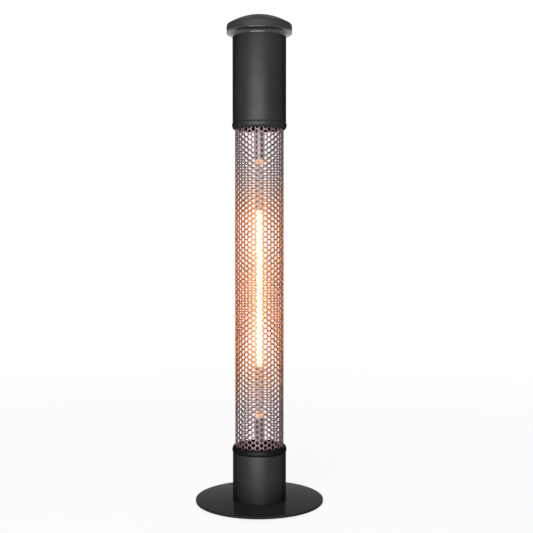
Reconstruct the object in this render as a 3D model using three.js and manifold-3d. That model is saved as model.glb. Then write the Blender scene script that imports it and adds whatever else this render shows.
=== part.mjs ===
// Infrared patio heater tower: base plate, housings, perforated cage, quartz lamp and cap.
// Millimetres, +Z up, front towards -Y. The origin lies on the floor under the tower's axis.

import * as THREE from 'three';
import { mergeVertices } from 'three/addons/utils/BufferGeometryUtils.js';
import Module from 'manifold-3d';

const wasm = await Module();
wasm.setup();

// ---------------------------------------------------------------- driving dimensions

// Clearance between pieces that fit in or on each other.
const fit = 0.3;

// How far a cutting tool runs on past the piece that it cuts through.
const overshoot = 2;
const through = 40;

// Base.
const padProud = 2;
const padRadius = 11;
const padCircle = 112;
const padAngles = [45, 135, 225, 315];
const plateRadius = 132;
const plateThickness = 5;
const plateEdge = 0.8;
const baseRingWidth = 23.2;
const baseRingThickness = 4;
const baseScrewInset = 11.2;
const baseScrewAngles = [30, 150, 270];
const baseScrewRadius = 2.5;
const baseScrewHeadRadius = 5;
const baseScrewHeadEdge = 0.4;
const baseScrewHeadHeight = 2.5;

// Housings.
const housingRadius = 55;
const housingWall = 1.5;
const lowerHousingHeight = 97;
const upperHousingHeight = 174;
const housingLip = 8;

// Collars, decks and cage.
const collarHeight = 13;
const collarBead = 1.2;
const collarBeadLevel = 4;
const spigotDepth = 10;
const spigotWall = 2.2;
const grooveDepth = 8;
const collarFlange = 9;
const deckThickness = 2;
const deckLift = 1;
const deckRim = 0.4;
const groovePlay = 0.6;
const deckScrewRadius = 1.5;
const deckScrewLength = 6;
const deckScrewHeadRadius = 3;
const deckScrewHeadHeight = 1.5;
const deckScrewAngles = [-90, 90];
const cageShown = 651;
const sheetThickness = 1.4;

// Perforation: staggered columns of six-sided holes.
const holeColumns = 12;
const holeRows = 16;
const holeWeb = 7.6;
const holeMargin = 3;

// Lamp.
const sleeveRadius = 10.6;
const sleeveWall = 0.8;
const lowerSleeveHeight = 68;
const upperSleeveHeight = 72;
const holderFlangeRadius = 17;
const holderFlangeThickness = 1.5;
const holderTailRadius = 7;
const holderTailLength = 9;
const holderBore = 4.5;
const holderNutHeight = 5;
const holderNutRadius = 12;
const lampCapHead = 8;
const lampCapEdge = 1;
const lampCapDepth = 28;
const lampCapSeat = 18;
const lampCapBore = 1.8;
const quartzRadius = 8.5;
const quartzWall = 1.2;
const neckRadius = 5;
const neckShown = 6;
const shoulderLength = 7;
const terminalRadius = 5;
const terminalHeight = 5;
const terminalPinRadius = 1.5;
const terminalTailRadius = 1.6;
const terminalTail = 8;
const leadRadius = 1;
const leadOverlap = 4;
const ribbonWidth = 9;
const ribbonThickness = 1.2;
const ribbonLength = 312;
const ribbonStart = 285;
const ribbonTurns = 3;
const ribbonSteps = 54;

// Return conduit for the wire to the top of the lamp.
const conduitRadius = 3;
const conduitWall = 0.8;
const conduitEnd = 6;

// Cap.
const capSpigotDepth = 14;
const capSpigotWall = 2;
const capFlare = 12;
const capFlareHeight = 11;
const capSkirtHeight = 12;
const capWall = 2;
const domeRise = 20;
const domeInset = 1;
const ringLip = 7;
const capLip = 4;
const domeRound = 2;
const studRadius = 3;
const studProud = 2;
const bridgeWidth = 20;
const bridgeThickness = 2;
const bridgeInset = 2;
const capNutHeight = 5;
const capNutRadius = 5.8;

// Screws at the back that join collars, housings and cap.
const sideScrewAngle = 40;
const sideScrewRadius = 1.5;
const sideScrewHeadRadius = 3.2;
const sideScrewHeadHeight = 1.6;
const sideScrewLength = 6;
const sideScrewDrop = 5;
const capScrewDrop = 7;

// Share of a pan head's height and radius at which its crown starts and ends.
const panCrown = 0.55;

// Rocker switch and cable gland on the back of the lower housing.
const switchHeight = 58;
const switchBezelWidth = 24;
const switchBezelHeight = 31;
const switchBezelProud = 2;
const switchBodyWidth = 19;
const switchBodyHeight = 26;
const switchBodyDepth = 21;
const switchBodyRoot = 1;
const switchWall = 2;
const switchWellDepth = 12;
const switchFlat = 1;
const rockerPin = 1.2;
const rockerLength = 20;
const rockerProud = 5.2;
const rockerDepth = 4;
const rockerTilt = 9;
const rockerDip = 1.6;
const glandHeight = 24;
const glandThreadRadius = 6;
const glandHexRadius = 9;
const glandHexWidth = 4;
const glandThreadNose = 4;
const glandThreadTail = 2;
const glandDomeRadius = 7.5;
const glandDomeLength = 10;
const glandDomeShoulder = 0.6;
const glandDomeNose = 0.7;
const glandBore = 3.6;
const glandNutWidth = 3.5;
const glandNutPlay = 1;
const glandFlat = 1;

// Tilt switch, terminal block and thermal cut-out.
const tiltInset = 15.2;
const tiltBaseThickness = 2;
const tiltWidth = 14;
const tiltCheekHeight = 37;
const tiltCheekThickness = 1.5;
const tiltCheekDepth = 12;
const pinLevel = 29;
const pinRadius = 1.5;
const pinProud = 1;
const pinHolePlay = 0.15;
const eyePlay = 0.25;
const hubWall = 2;
const hubPlay = 1;
const bobRadius = 6;
const bobWidth = 8;
const bobDrop = 18;
const armWidth = 5;
const armThickness = 4;
const microSize = [10, 8, 4];
const blockSize = [28, 14, 13];
const blockInset = 16;
const blockSlot = [5, 7, 3];
const blockSlotPitch = 8.5;
const cutoutRadius = 7;
const cutoutHeight = 8;
const cutoutShoulder = 0.6;
const cutoutX = -26;

// ---------------------------------------------------------------- levels and radii that follow

const plateTop = padProud + plateThickness;
const lowerTop = plateTop + lowerHousingHeight;
const lowerRim = lowerTop + collarHeight;
const upperRim = lowerRim + cageShown;
const upperBottom = upperRim + collarHeight;
const upperTop = upperBottom + upperHousingHeight;
const housingBore = housingRadius - housingWall;
const spigotRadius = housingBore - fit;
const grooveOuter = spigotRadius - spigotWall;
const cageRadius = grooveOuter - groovePlay;
const cageBore = cageRadius - sheetThickness;
const grooveInner = cageBore - groovePlay;
const flangeBore = grooveInner - collarFlange;
const deckScrewCircle = flangeBore + collarFlange / 2;
const conduitOffset = deckScrewCircle;
const deckRadius = grooveInner - deckRim;
const lowerDeckTop = lowerTop + deckLift + deckThickness;
const upperDeckBottom = upperBottom - deckLift - deckThickness;
const cageBottom = lowerTop - grooveDepth;
const cageTop = upperBottom + grooveDepth;
const lowerMouth = lowerDeckTop + lowerSleeveHeight;
const upperMouth = upperDeckBottom - upperSleeveHeight;
const lowerNeck = lowerMouth - lampCapSeat;
const upperNeck = upperMouth + lampCapSeat;
const baseRingRadius = housingBore - fit;
const baseRingBore = baseRingRadius - baseRingWidth;
const baseScrewCircle = baseRingRadius - baseScrewInset;
const baseRingBottom = plateTop + housingWall;
const baseRingTop = baseRingBottom + baseRingThickness;
const baseScrewLength = plateThickness + housingWall + baseRingThickness - fit;
const tiltX = tiltInset - baseRingRadius;
const blockY = blockInset - baseRingBore;

// Faces per turn.
const shellSides = 32;
const plateSides = 48;
const smallSides = 12;
const pinSides = 10;
const screwSides = 6;

// ---------------------------------------------------------------- materials

function finish(color, roughness, metalness) {
  return new THREE.MeshStandardMaterial({ color, roughness, metalness });
}

const blackPaint = () => finish(0x2b2c2c, 0.42, 0.2);
const blackPlate = () => finish(0x262727, 0.3, 0.3);
const steel = () => finish(0xa9a6a6, 0.3, 1);
const zinc = () => finish(0xb4b5b2, 0.4, 1);
const brass = () => finish(0xb9964f, 0.35, 1);
const ceramic = () => finish(0xe7dccb, 0.7, 0);
const blackPlastic = () => finish(0x1c1c1d, 0.5, 0);
const rubber = () => finish(0x161616, 0.9, 0);

function quartzGlass() {
  const material = finish(0xf2f5f6, 0.05, 0);
  material.transparent = true;
  material.opacity = 0.3;
  return material;
}

function glowing() {
  const material = finish(0xffc890, 0.6, 0);
  material.emissive = new THREE.Color(0xffa050);
  return material;
}

// ---------------------------------------------------------------- geometry helpers

// Merges shared corners, drops empty triangles and turns all faces outwards.
function closed(source) {
  const bare = source.clone();
  bare.deleteAttribute('normal');
  bare.deleteAttribute('uv');
  const merged = mergeVertices(bare, 1e-4);
  const index = merged.index.array;
  const kept = [];
  for (let i = 0; i < index.length; i += 3) {
    const [a, b, c] = [index[i], index[i + 1], index[i + 2]];
    if (a !== b && b !== c && c !== a) kept.push(a, b, c);
  }
  merged.setIndex(kept);
  if (signedVolume(merged) < 0) merged.setIndex(kept.reverse());
  return merged;
}

function signedVolume(geometry) {
  const position = geometry.attributes.position;
  const index = geometry.index.array;
  const corners = [new THREE.Vector3(), new THREE.Vector3(), new THREE.Vector3()];
  let volume = 0;
  for (let i = 0; i < index.length; i += 3) {
    corners.forEach((corner, k) => corner.fromBufferAttribute(position, index[i + k]));
    volume += corners[0].dot(corners[1].clone().cross(corners[2])) / 6;
  }
  return volume;
}

function toSolid(geometry) {
  const clean = closed(geometry);
  const vertProperties = new Float32Array(clean.attributes.position.array);
  const triVerts = new Uint32Array(clean.index.array);
  return new wasm.Manifold(new wasm.Mesh({ numProp: 3, vertProperties, triVerts }));
}

function toGeometry(solid) {
  const mesh = solid.getMesh();
  const geometry = new THREE.BufferGeometry();
  geometry.setAttribute('position', new THREE.BufferAttribute(mesh.vertProperties, 3));
  geometry.setIndex(new THREE.BufferAttribute(mesh.triVerts, 1));
  return geometry;
}

function cut(geometry, ...tools) {
  return toGeometry(tools.reduce((solid, tool) => solid.subtract(toSolid(tool)), toSolid(geometry)));
}

function join(geometry, ...others) {
  return toGeometry(others.reduce((solid, other) => solid.add(toSolid(other)), toSolid(geometry)));
}

// Revolves a profile of [radius, height] pairs about +Z. A profile off the axis is closed on itself.
function revolve(profile, sides = shellSides) {
  const points = profile.map(([radius, height]) => new THREE.Vector2(radius, height));
  const onAxis = profile[0][0] === 0 && profile[profile.length - 1][0] === 0;
  if (!onAxis) points.push(points[0].clone());
  return closed(new THREE.LatheGeometry(points, sides).rotateX(Math.PI / 2));
}

function rod(radius, bottom, top, sides = smallSides) {
  return revolve([[0, bottom], [radius, bottom], [radius, top], [0, top]], sides);
}

function box(sizeX, sizeY, sizeZ, x = 0, y = 0, z = 0) {
  return new THREE.BoxGeometry(sizeX, sizeY, sizeZ).translate(x, y, z);
}

// A hexagonal prism along +Z, measured across its corners.
function hexagon(radius, bottom, top) {
  return rod(radius, bottom, top, 6);
}

// Points on a quarter ellipse from (r0, z0) to (r1, z1); the curve leaves the first point upwards.
function quarter(r0, z0, r1, z1, steps) {
  const points = [];
  for (let i = 0; i <= steps; i += 1) {
    const turn = (i / steps) * (Math.PI / 2);
    points.push([r1 + (r0 - r1) * Math.cos(turn), z0 + (z1 - z0) * Math.sin(turn)]);
  }
  return points;
}

// Turns a piece that stands on +Z so that it points straight out at the given angle from the back.
function pointOutwards(geometry, angle, radius, height) {
  return geometry
    .rotateX(-Math.PI / 2)
    .translate(0, radius, height)
    .rotateZ(THREE.MathUtils.degToRad(angle));
}

// ---------------------------------------------------------------- scene graph

const group = new THREE.Group();

function add(name, geometry, material) {
  const mesh = new THREE.Mesh(geometry, material);
  mesh.name = name;
  group.add(mesh);
  return mesh;
}

// ---------------------------------------------------------------- screws

function panScrew(radius, length, headRadius, headHeight, sides = screwSides) {
  return revolve([
    [0, -length],
    [radius, -length],
    [radius, 0],
    [headRadius, 0],
    [headRadius, headHeight * panCrown],
    [headRadius * panCrown, headHeight],
    [0, headHeight],
  ], sides);
}

// The joints held by a pair of screws at the back: level of the screws on each.
const sideScrewLevels = {
  lower: lowerTop - sideScrewDrop,
  upper: upperBottom + sideScrewDrop,
  cap: upperTop - capScrewDrop,
};

// Clearance holes for the two back screws of one joint.
function sideScrewHoles(level) {
  return [-sideScrewAngle, sideScrewAngle].map((angle) => {
    const hole = rod(sideScrewRadius + fit, -sideScrewLength - fit, sideScrewHeadHeight, screwSides);
    return pointOutwards(hole, angle, housingRadius, level);
  });
}

function addSideScrews() {
  for (const [joint, level] of Object.entries(sideScrewLevels)) {
    [-sideScrewAngle, sideScrewAngle].forEach((angle, side) => {
      const screw = panScrew(
        sideScrewRadius, sideScrewLength, sideScrewHeadRadius, sideScrewHeadHeight,
      );
      pointOutwards(screw, angle, housingRadius, level);
      add(`${joint}_side_screw_${side + 1}`, screw, zinc());
    });
  }
}

// ---------------------------------------------------------------- base

function around(geometry, circle, angle) {
  const turn = THREE.MathUtils.degToRad(angle);
  return geometry.translate(circle * Math.cos(turn), circle * Math.sin(turn), 0);
}

// Countersunk screw from below. With a clearance it is the tool for the screw's hole.
function baseScrew(clearance = 0) {
  const beyond = clearance > 0 ? overshoot : 0;
  const bottom = padProud - beyond;
  const neck = padProud + baseScrewHeadHeight + clearance;
  const top = padProud + baseScrewLength + beyond;
  return revolve([
    [0, bottom],
    [baseScrewHeadRadius + clearance, bottom],
    [baseScrewHeadRadius + clearance, padProud + baseScrewHeadEdge],
    [baseScrewRadius + clearance, neck],
    [baseScrewRadius + clearance, top],
    [0, top],
  ], screwSides);
}

function addBase() {
  const holes = baseScrewAngles.map((angle) => around(baseScrew(fit), baseScrewCircle, angle));
  const plate = revolve([
    [0, padProud],
    [plateRadius - plateEdge, padProud],
    [plateRadius, padProud + plateEdge],
    [plateRadius, plateTop - plateEdge],
    [plateRadius - plateEdge, plateTop],
    [0, plateTop],
  ], plateSides);
  add('base_plate', cut(plate, ...holes), blackPlate());

  const ring = revolve([
    [baseRingBore, baseRingBottom],
    [baseRingRadius, baseRingBottom],
    [baseRingRadius, baseRingTop],
    [baseRingBore, baseRingTop],
  ], shellSides);
  add('base_ring', cut(ring, ...holes), zinc());

  baseScrewAngles.forEach((angle, i) => {
    add(`base_screw_${i + 1}`, around(baseScrew(), baseScrewCircle, angle), zinc());
  });
  padAngles.forEach((angle, i) => {
    const pad = rod(padRadius, 0, padProud, smallSides);
    add(`foot_pad_${i + 1}`, around(pad, padCircle, angle), rubber());
  });
}

// ---------------------------------------------------------------- housings

function addLowerHousing() {
  const shell = revolve([
    [housingRadius - housingLip - housingWall, plateTop],
    [housingRadius, plateTop],
    [housingRadius, lowerTop],
    [housingBore, lowerTop],
    [housingBore, plateTop + housingWall],
    [housingRadius - housingLip - housingWall, plateTop + housingWall],
  ]);
  const window = box(
    switchBodyWidth + 2 * fit, 2 * switchBodyDepth, switchBodyHeight + 2 * fit,
    0, housingRadius, switchHeight,
  );
  const windowFlat = box(
    switchBezelWidth + 2 * fit, 2 * switchFlat, switchBezelHeight + 2 * fit,
    0, housingRadius, switchHeight,
  );
  const glandHole = pointOutwards(
    rod(glandThreadRadius + fit, -through, through), 0, housingRadius, glandHeight,
  );
  const glandSeat = box(
    2 * glandHexRadius + 2 * fit, 2 * glandFlat, 2 * glandHexRadius + 2 * fit,
    0, housingRadius, glandHeight,
  );
  add('lower_housing', cut(
    shell, window, windowFlat, glandHole, glandSeat,
    ...sideScrewHoles(sideScrewLevels.lower),
  ), blackPaint());
}

function addUpperHousing() {
  const shell = revolve([
    [housingBore, upperBottom],
    [housingRadius, upperBottom],
    [housingRadius, upperTop],
    [housingBore, upperTop],
  ]);
  add('upper_housing', cut(
    shell,
    ...sideScrewHoles(sideScrewLevels.upper),
    ...sideScrewHoles(sideScrewLevels.cap),
  ), blackPaint());
}

// ---------------------------------------------------------------- collars and decks

// Profile of a collar standing on a housing edge at height 0, with its rim upwards.
function collarProfile() {
  const beadRadius = housingRadius + collarBead;
  return [
    [flangeBore, -spigotDepth],
    [spigotRadius, -spigotDepth],
    [spigotRadius, 0],
    [housingRadius, 0],
    ...quarter(beadRadius, collarBeadLevel, grooveOuter, collarHeight, 3),
    [grooveOuter, -grooveDepth],
    [grooveInner, -grooveDepth],
    [grooveInner, deckLift],
    [flangeBore, deckLift],
  ];
}

// Deck lying on a collar's flange, in the collar's own frame.
function deckProfile() {
  return [
    [0, deckLift],
    [deckRadius, deckLift],
    [deckRadius, deckLift + deckThickness],
    [0, deckLift + deckThickness],
  ];
}

function deckScrewHoles() {
  return deckScrewAngles.map((angle) => {
    const hole = rod(deckScrewRadius + fit, deckLift - deckScrewLength, through, screwSides);
    return around(hole, deckScrewCircle, angle);
  });
}

// Places a piece made in the collar's frame on the lower housing, or upside down under the upper one.
function onCollar(geometry, end) {
  if (end === 'lower') return geometry.translate(0, 0, lowerTop);
  return geometry.rotateY(Math.PI).translate(0, 0, upperBottom);
}

// Conduit hole in the collar's frame; the upper collar is turned over, so x changes sign there.
function conduitHole(end) {
  const side = end === 'lower' ? 1 : -1;
  return rod(conduitRadius + fit, -through, through, pinSides).translate(side * conduitOffset, 0, 0);
}

function addCollar(end) {
  const collar = onCollar(cut(revolve(collarProfile()), conduitHole(end), ...deckScrewHoles()), end);
  add(`${end}_collar`, cut(collar, ...sideScrewHoles(sideScrewLevels[end])), blackPaint());

  const tailHole = rod(holderTailRadius + fit, -through, through);
  const deck = cut(
    revolve(deckProfile(), shellSides), tailHole, conduitHole(end), ...deckScrewHoles(),
  );
  add(`${end}_deck`, onCollar(deck, end), blackPaint());

  deckScrewAngles.forEach((angle, i) => {
    const screw = panScrew(
      deckScrewRadius, deckScrewLength, deckScrewHeadRadius, deckScrewHeadHeight,
    ).translate(0, 0, deckLift + deckThickness);
    add(`${end}_deck_screw_${i + 1}`, onCollar(around(screw, deckScrewCircle, angle), end), zinc());
  });
}

// ---------------------------------------------------------------- perforated cage

// The cage is a rolled sheet with staggered columns of six-sided holes between two plain bands.
function cageGeometry() {
  const step = (2 * Math.PI) / holeColumns;
  const first = lowerRim + holeMargin;
  const last = upperRim - holeMargin;
  const pitch = (last - first) / (holeRows + 0.5);
  const halfHeight = (pitch - holeWeb) / 2;
  const halfWidth = (cageRadius * step * 2) / 3 - holeWeb / Math.sqrt(3);
  const halfAngle = halfWidth / cageRadius;
  const positions = [];
  const triangles = [];

  // Both faces of the sheet share one numbering: outer corners first, then inner corners.
  const corners = [];
  function corner(angle, height) {
    corners.push([angle, height]);
    return corners.length - 1;
  }

  // Six corners per hole, counted from the right one, anticlockwise seen from outside.
  const holes = [];
  for (let column = 0; column < holeColumns; column += 1) {
    const shift = column % 2 === 0 ? 0 : 0.5;
    holes.push([]);
    for (let row = 0; row < holeRows; row += 1) {
      const angle = column * step;
      const height = first + (row + 0.5 + shift) * pitch;
      holes[column].push([
        corner(angle + halfAngle, height),
        corner(angle + halfAngle / 2, height + halfHeight),
        corner(angle - halfAngle / 2, height + halfHeight),
        corner(angle - halfAngle, height),
        corner(angle - halfAngle / 2, height - halfHeight),
        corner(angle + halfAngle / 2, height - halfHeight),
      ]);
    }
  }

  // Faces of the web on the unrolled sheet, each a list of corners anticlockwise from outside.
  const faces = [];
  for (let column = 0; column < holeColumns; column += 1) {
    const here = holes[column];
    const next = holes[(column + 1) % holeColumns];
    const even = column % 2 === 0;
    for (let row = 0; row < holeRows; row += 1) {
      const hole = here[row];
      const above = here[row + 1];
      if (above) faces.push([hole[2], hole[1], above[5], above[4]]);
      const upper = next[even ? row : row + 1];
      const lower = next[even ? row - 1 : row];
      if (upper) faces.push([hole[0], upper[4], upper[3], hole[1]]);
      if (lower) faces.push([hole[0], hole[5], lower[3], lower[2]]);
      if (upper && lower) faces.push([hole[0], lower[2], upper[4]]);
      if (upper && above) faces.push([hole[1], upper[3], above[5]]);
    }
  }

  // The zigzag edge of the pattern is closed by a plain band down or up to the sheet's end.
  function band(isTop) {
    const chain = [];
    for (let column = 0; column < holeColumns; column += 1) {
      const hole = holes[column][isTop ? holeRows - 1 : 0];
      const outermost = (column % 2 === 0) !== isTop;
      const [left, right] = isTop ? [2, 1] : [4, 5];
      if (outermost) chain.push(hole[3], hole[left], hole[right], hole[0]);
      else chain.push(hole[left], hole[right]);
    }
    const edge = chain.map((index) => corner(corners[index][0], isTop ? cageTop : cageBottom));
    chain.forEach((start, i) => {
      const j = (i + 1) % chain.length;
      const face = [edge[i], edge[j], chain[j], start];
      faces.push(isTop ? face.reverse() : face);
    });
    return edge;
  }
  const bottomEdge = band(false);
  const topEdge = band(true);

  const count = corners.length;
  for (const radius of [cageRadius, cageBore]) {
    for (const [angle, height] of corners) {
      positions.push(radius * Math.cos(angle), radius * Math.sin(angle), height);
    }
  }
  for (const face of faces) {
    for (let i = 1; i < face.length - 1; i += 1) {
      triangles.push(face[0], face[i], face[i + 1]);
      triangles.push(face[0] + count, face[i + 1] + count, face[i] + count);
    }
  }

  // Walls through the sheet, round each hole and round both ends.
  function wall(loop) {
    loop.forEach((start, i) => {
      const end = loop[(i + 1) % loop.length];
      triangles.push(start, end + count, end, start, start + count, end + count);
    });
  }
  holes.flat().forEach((hole) => wall([...hole].reverse()));
  wall(bottomEdge);
  wall([...topEdge].reverse());

  const geometry = new THREE.BufferGeometry();
  geometry.setAttribute('position', new THREE.Float32BufferAttribute(positions, 3));
  geometry.setIndex(triangles);
  return geometry;
}

function addCage() {
  add('cage', cut(
    cageGeometry(),
    ...sideScrewHoles(sideScrewLevels.lower),
    ...sideScrewHoles(sideScrewLevels.upper),
  ), steel());
}

// ---------------------------------------------------------------- lamp

// Holder: flange on the deck, sleeve towards the lamp, threaded tail through the deck.
function holderGeometry(sleeveHeight) {
  return revolve([
    [holderBore, -holderTailLength],
    [holderTailRadius, -holderTailLength],
    [holderTailRadius, 0],
    [holderFlangeRadius, 0],
    [holderFlangeRadius, holderFlangeThickness],
    [sleeveRadius, holderFlangeThickness],
    [sleeveRadius, sleeveHeight],
    [sleeveRadius - sleeveWall, sleeveHeight],
    [sleeveRadius - sleeveWall, holderFlangeThickness],
    [holderBore, holderFlangeThickness],
  ], smallSides);
}

function holderNut() {
  const nut = hexagon(holderNutRadius, -deckThickness - holderNutHeight, -deckThickness);
  return cut(nut, rod(holderTailRadius + fit, -through, through));
}

// Ceramic cap with its head on the sleeve's mouth at height 0 and its body down in the sleeve.
function lampCapGeometry() {
  const bodyRadius = sleeveRadius - sleeveWall - fit;
  return revolve([
    [lampCapBore, -lampCapDepth],
    [bodyRadius, -lampCapDepth],
    [bodyRadius, 0],
    [sleeveRadius, 0],
    [sleeveRadius, lampCapHead - lampCapEdge],
    [sleeveRadius - lampCapEdge, lampCapHead],
    [neckRadius + fit, lampCapHead],
    [neckRadius + fit, -lampCapSeat],
    [lampCapBore, -lampCapSeat],
  ], smallSides);
}

// Terminal button under the ceramic cap, with its pin up the bore and its tail for the wire.
function terminalGeometry() {
  const pinTop = -lampCapSeat - fit;
  const buttonBottom = -lampCapDepth - terminalHeight;
  const tailBottom = buttonBottom - terminalTail;
  return revolve([
    [0, tailBottom],
    [terminalTailRadius, tailBottom],
    [terminalTailRadius, buttonBottom],
    [terminalRadius, buttonBottom],
    [terminalRadius, -lampCapDepth],
    [terminalPinRadius, -lampCapDepth],
    [terminalPinRadius, pinTop],
    [0, pinTop],
  ], pinSides);
}

// Places a piece made in a lamp end's frame, with the lamp upwards, at the lower or upper end.
function onLampEnd(geometry, end, lowerLevel, upperLevel) {
  if (end === 'lower') return geometry.translate(0, 0, lowerLevel);
  return geometry.rotateY(Math.PI).translate(0, 0, upperLevel);
}

function addLampEnd(end) {
  const sleeveHeight = end === 'lower' ? lowerSleeveHeight : upperSleeveHeight;
  const onDeck = (geometry) => onLampEnd(geometry, end, lowerDeckTop, upperDeckBottom);
  const onMouth = (geometry) => onLampEnd(geometry, end, lowerMouth, upperMouth);
  add(`${end}_lamp_holder`, onDeck(holderGeometry(sleeveHeight)), steel());
  add(`${end}_holder_nut`, onDeck(holderNut()), zinc());
  add(`${end}_lamp_cap`, onMouth(lampCapGeometry()), ceramic());
  add(`${end}_lamp_terminal`, onMouth(terminalGeometry()), brass());
}

function addQuartzTube() {
  const bodyBottom = lowerMouth + lampCapHead + neckShown;
  const bodyTop = upperMouth - lampCapHead - neckShown;
  const boreRadius = quartzRadius - quartzWall;
  const leadBore = leadRadius + fit;
  add('quartz_tube', revolve([
    [leadBore, lowerNeck],
    [neckRadius, lowerNeck],
    [neckRadius, bodyBottom],
    [quartzRadius, bodyBottom + shoulderLength],
    [quartzRadius, bodyTop - shoulderLength],
    [neckRadius, bodyTop],
    [neckRadius, upperNeck],
    [leadBore, upperNeck],
    [leadBore, bodyTop],
    [boreRadius, bodyTop - shoulderLength - quartzWall],
    [boreRadius, bodyBottom + shoulderLength + quartzWall],
    [leadBore, bodyBottom],
  ], smallSides), quartzGlass());
}

// Twisted carbon ribbon, swept up the axis from a rectangle that turns as it climbs.
function ribbonGeometry() {
  const positions = [];
  const triangles = [];
  const half = [ribbonWidth / 2, ribbonThickness / 2];
  const section = [[-1, -1], [1, -1], [1, 1], [-1, 1]];
  for (let i = 0; i <= ribbonSteps; i += 1) {
    const turn = (i / ribbonSteps) * ribbonTurns * 2 * Math.PI;
    const [c, s] = [Math.cos(turn), Math.sin(turn)];
    for (const [a, b] of section) {
      const [x, y] = [a * half[0], b * half[1]];
      positions.push(x * c - y * s, x * s + y * c, ribbonStart + (i / ribbonSteps) * ribbonLength);
    }
  }
  for (let i = 0; i < ribbonSteps; i += 1) {
    for (let k = 0; k < 4; k += 1) {
      const [a, b] = [4 * i + k, 4 * i + ((k + 1) % 4)];
      triangles.push(a, b, b + 4, a, b + 4, a + 4);
    }
  }
  const top = 4 * ribbonSteps;
  triangles.push(0, 2, 1, 0, 3, 2, top, top + 1, top + 2, top, top + 2, top + 3);
  const geometry = new THREE.BufferGeometry();
  geometry.setAttribute('position', new THREE.Float32BufferAttribute(positions, 3));
  geometry.setIndex(triangles);
  return geometry;
}

function addHeatingElement() {
  const ribbonEnd = ribbonStart + ribbonLength;
  const lowerLead = rod(leadRadius, lowerNeck, ribbonStart + leadOverlap, screwSides);
  const upperLead = rod(leadRadius, ribbonEnd - leadOverlap, upperNeck, screwSides);
  add('heating_element', join(ribbonGeometry(), lowerLead, upperLead), glowing());
}

function addConduit() {
  const bottom = lowerTop - spigotDepth - conduitEnd;
  const top = upperBottom + spigotDepth + conduitEnd;
  const tube = revolve([
    [conduitRadius - conduitWall, bottom],
    [conduitRadius, bottom],
    [conduitRadius, top],
    [conduitRadius - conduitWall, top],
  ], pinSides);
  add('return_conduit', tube.translate(conduitOffset, 0, 0), steel());
}

// ---------------------------------------------------------------- cap

const capRadius = housingRadius + capFlare;
const capRimBottom = upperTop + capFlareHeight;
const capSpigotRadius = housingBore - fit;
const capRimTop = capRimBottom + capSkirtHeight;
const bridgeTop = upperTop - capSpigotDepth;
const bridgeBottom = bridgeTop - bridgeThickness;

// Flared ring: spigot in the housing, cone out to the rim, seat for the dome.
function addCapRing() {
  const inner = capSpigotRadius - capSpigotWall;
  const profile = [
    [inner - ringLip, bridgeTop],
    [capSpigotRadius, bridgeTop],
    [capSpigotRadius, upperTop],
    [housingRadius, upperTop],
    ...quarter(capRadius, capRimBottom, capRadius - capLip, capRimBottom - capLip, 3).reverse(),
    [capRadius - capWall - fit, capRimBottom],
    [inner, upperTop],
    [inner, bridgeTop + capWall],
    [inner - ringLip, bridgeTop + capWall],
  ];
  const ring = revolve(profile);
  add('cap_ring', cut(ring, ...sideScrewHoles(sideScrewLevels.cap)), blackPaint());
}

// Dome with a vertical skirt and a threaded stud welded under its middle.
function addCapDome() {
  const rimRadius = capRadius - domeInset;
  const sphere = (rimRadius ** 2 + domeRise ** 2) / (2 * domeRise);
  const domeTop = capRimTop + domeRound + domeRise;
  const arc = (radius, steps) => {
    const points = [];
    for (let i = 0; i <= steps; i += 1) {
      const turn = (i / steps) * Math.asin(rimRadius / sphere);
      points.push([radius * Math.sin(turn), domeTop - sphere + radius * Math.cos(turn)]);
    }
    return points;
  };
  const skin = revolve([
    ...arc(sphere, 4),
    [capRadius, capRimTop],
    [capRadius, capRimBottom],
    [capRadius - capWall, capRimBottom],
    [capRadius - capWall, capRimTop],
    ...arc(sphere - capWall, 3).reverse(),
  ]);
  const studBottom = bridgeBottom - capNutHeight - studProud;
  const stud = rod(studRadius, studBottom, domeTop - capWall / 2, screwSides);
  add('cap_dome', join(skin, stud), blackPaint());
}

function addCapBridge() {
  const length = 2 * (housingBore - bridgeInset);
  const bar = box(length, bridgeWidth, bridgeThickness, 0, 0, bridgeTop - bridgeThickness / 2);
  const studHole = rod(studRadius + fit, bridgeBottom - through, bridgeTop + through, screwSides);
  add('cap_bridge', cut(bar, studHole), zinc());
  const nut = hexagon(capNutRadius, bridgeBottom - capNutHeight, bridgeBottom);
  add('cap_nut', cut(nut, studHole), zinc());
}

// ---------------------------------------------------------------- rocker switch

const switchSeat = housingRadius - switchFlat;

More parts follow.
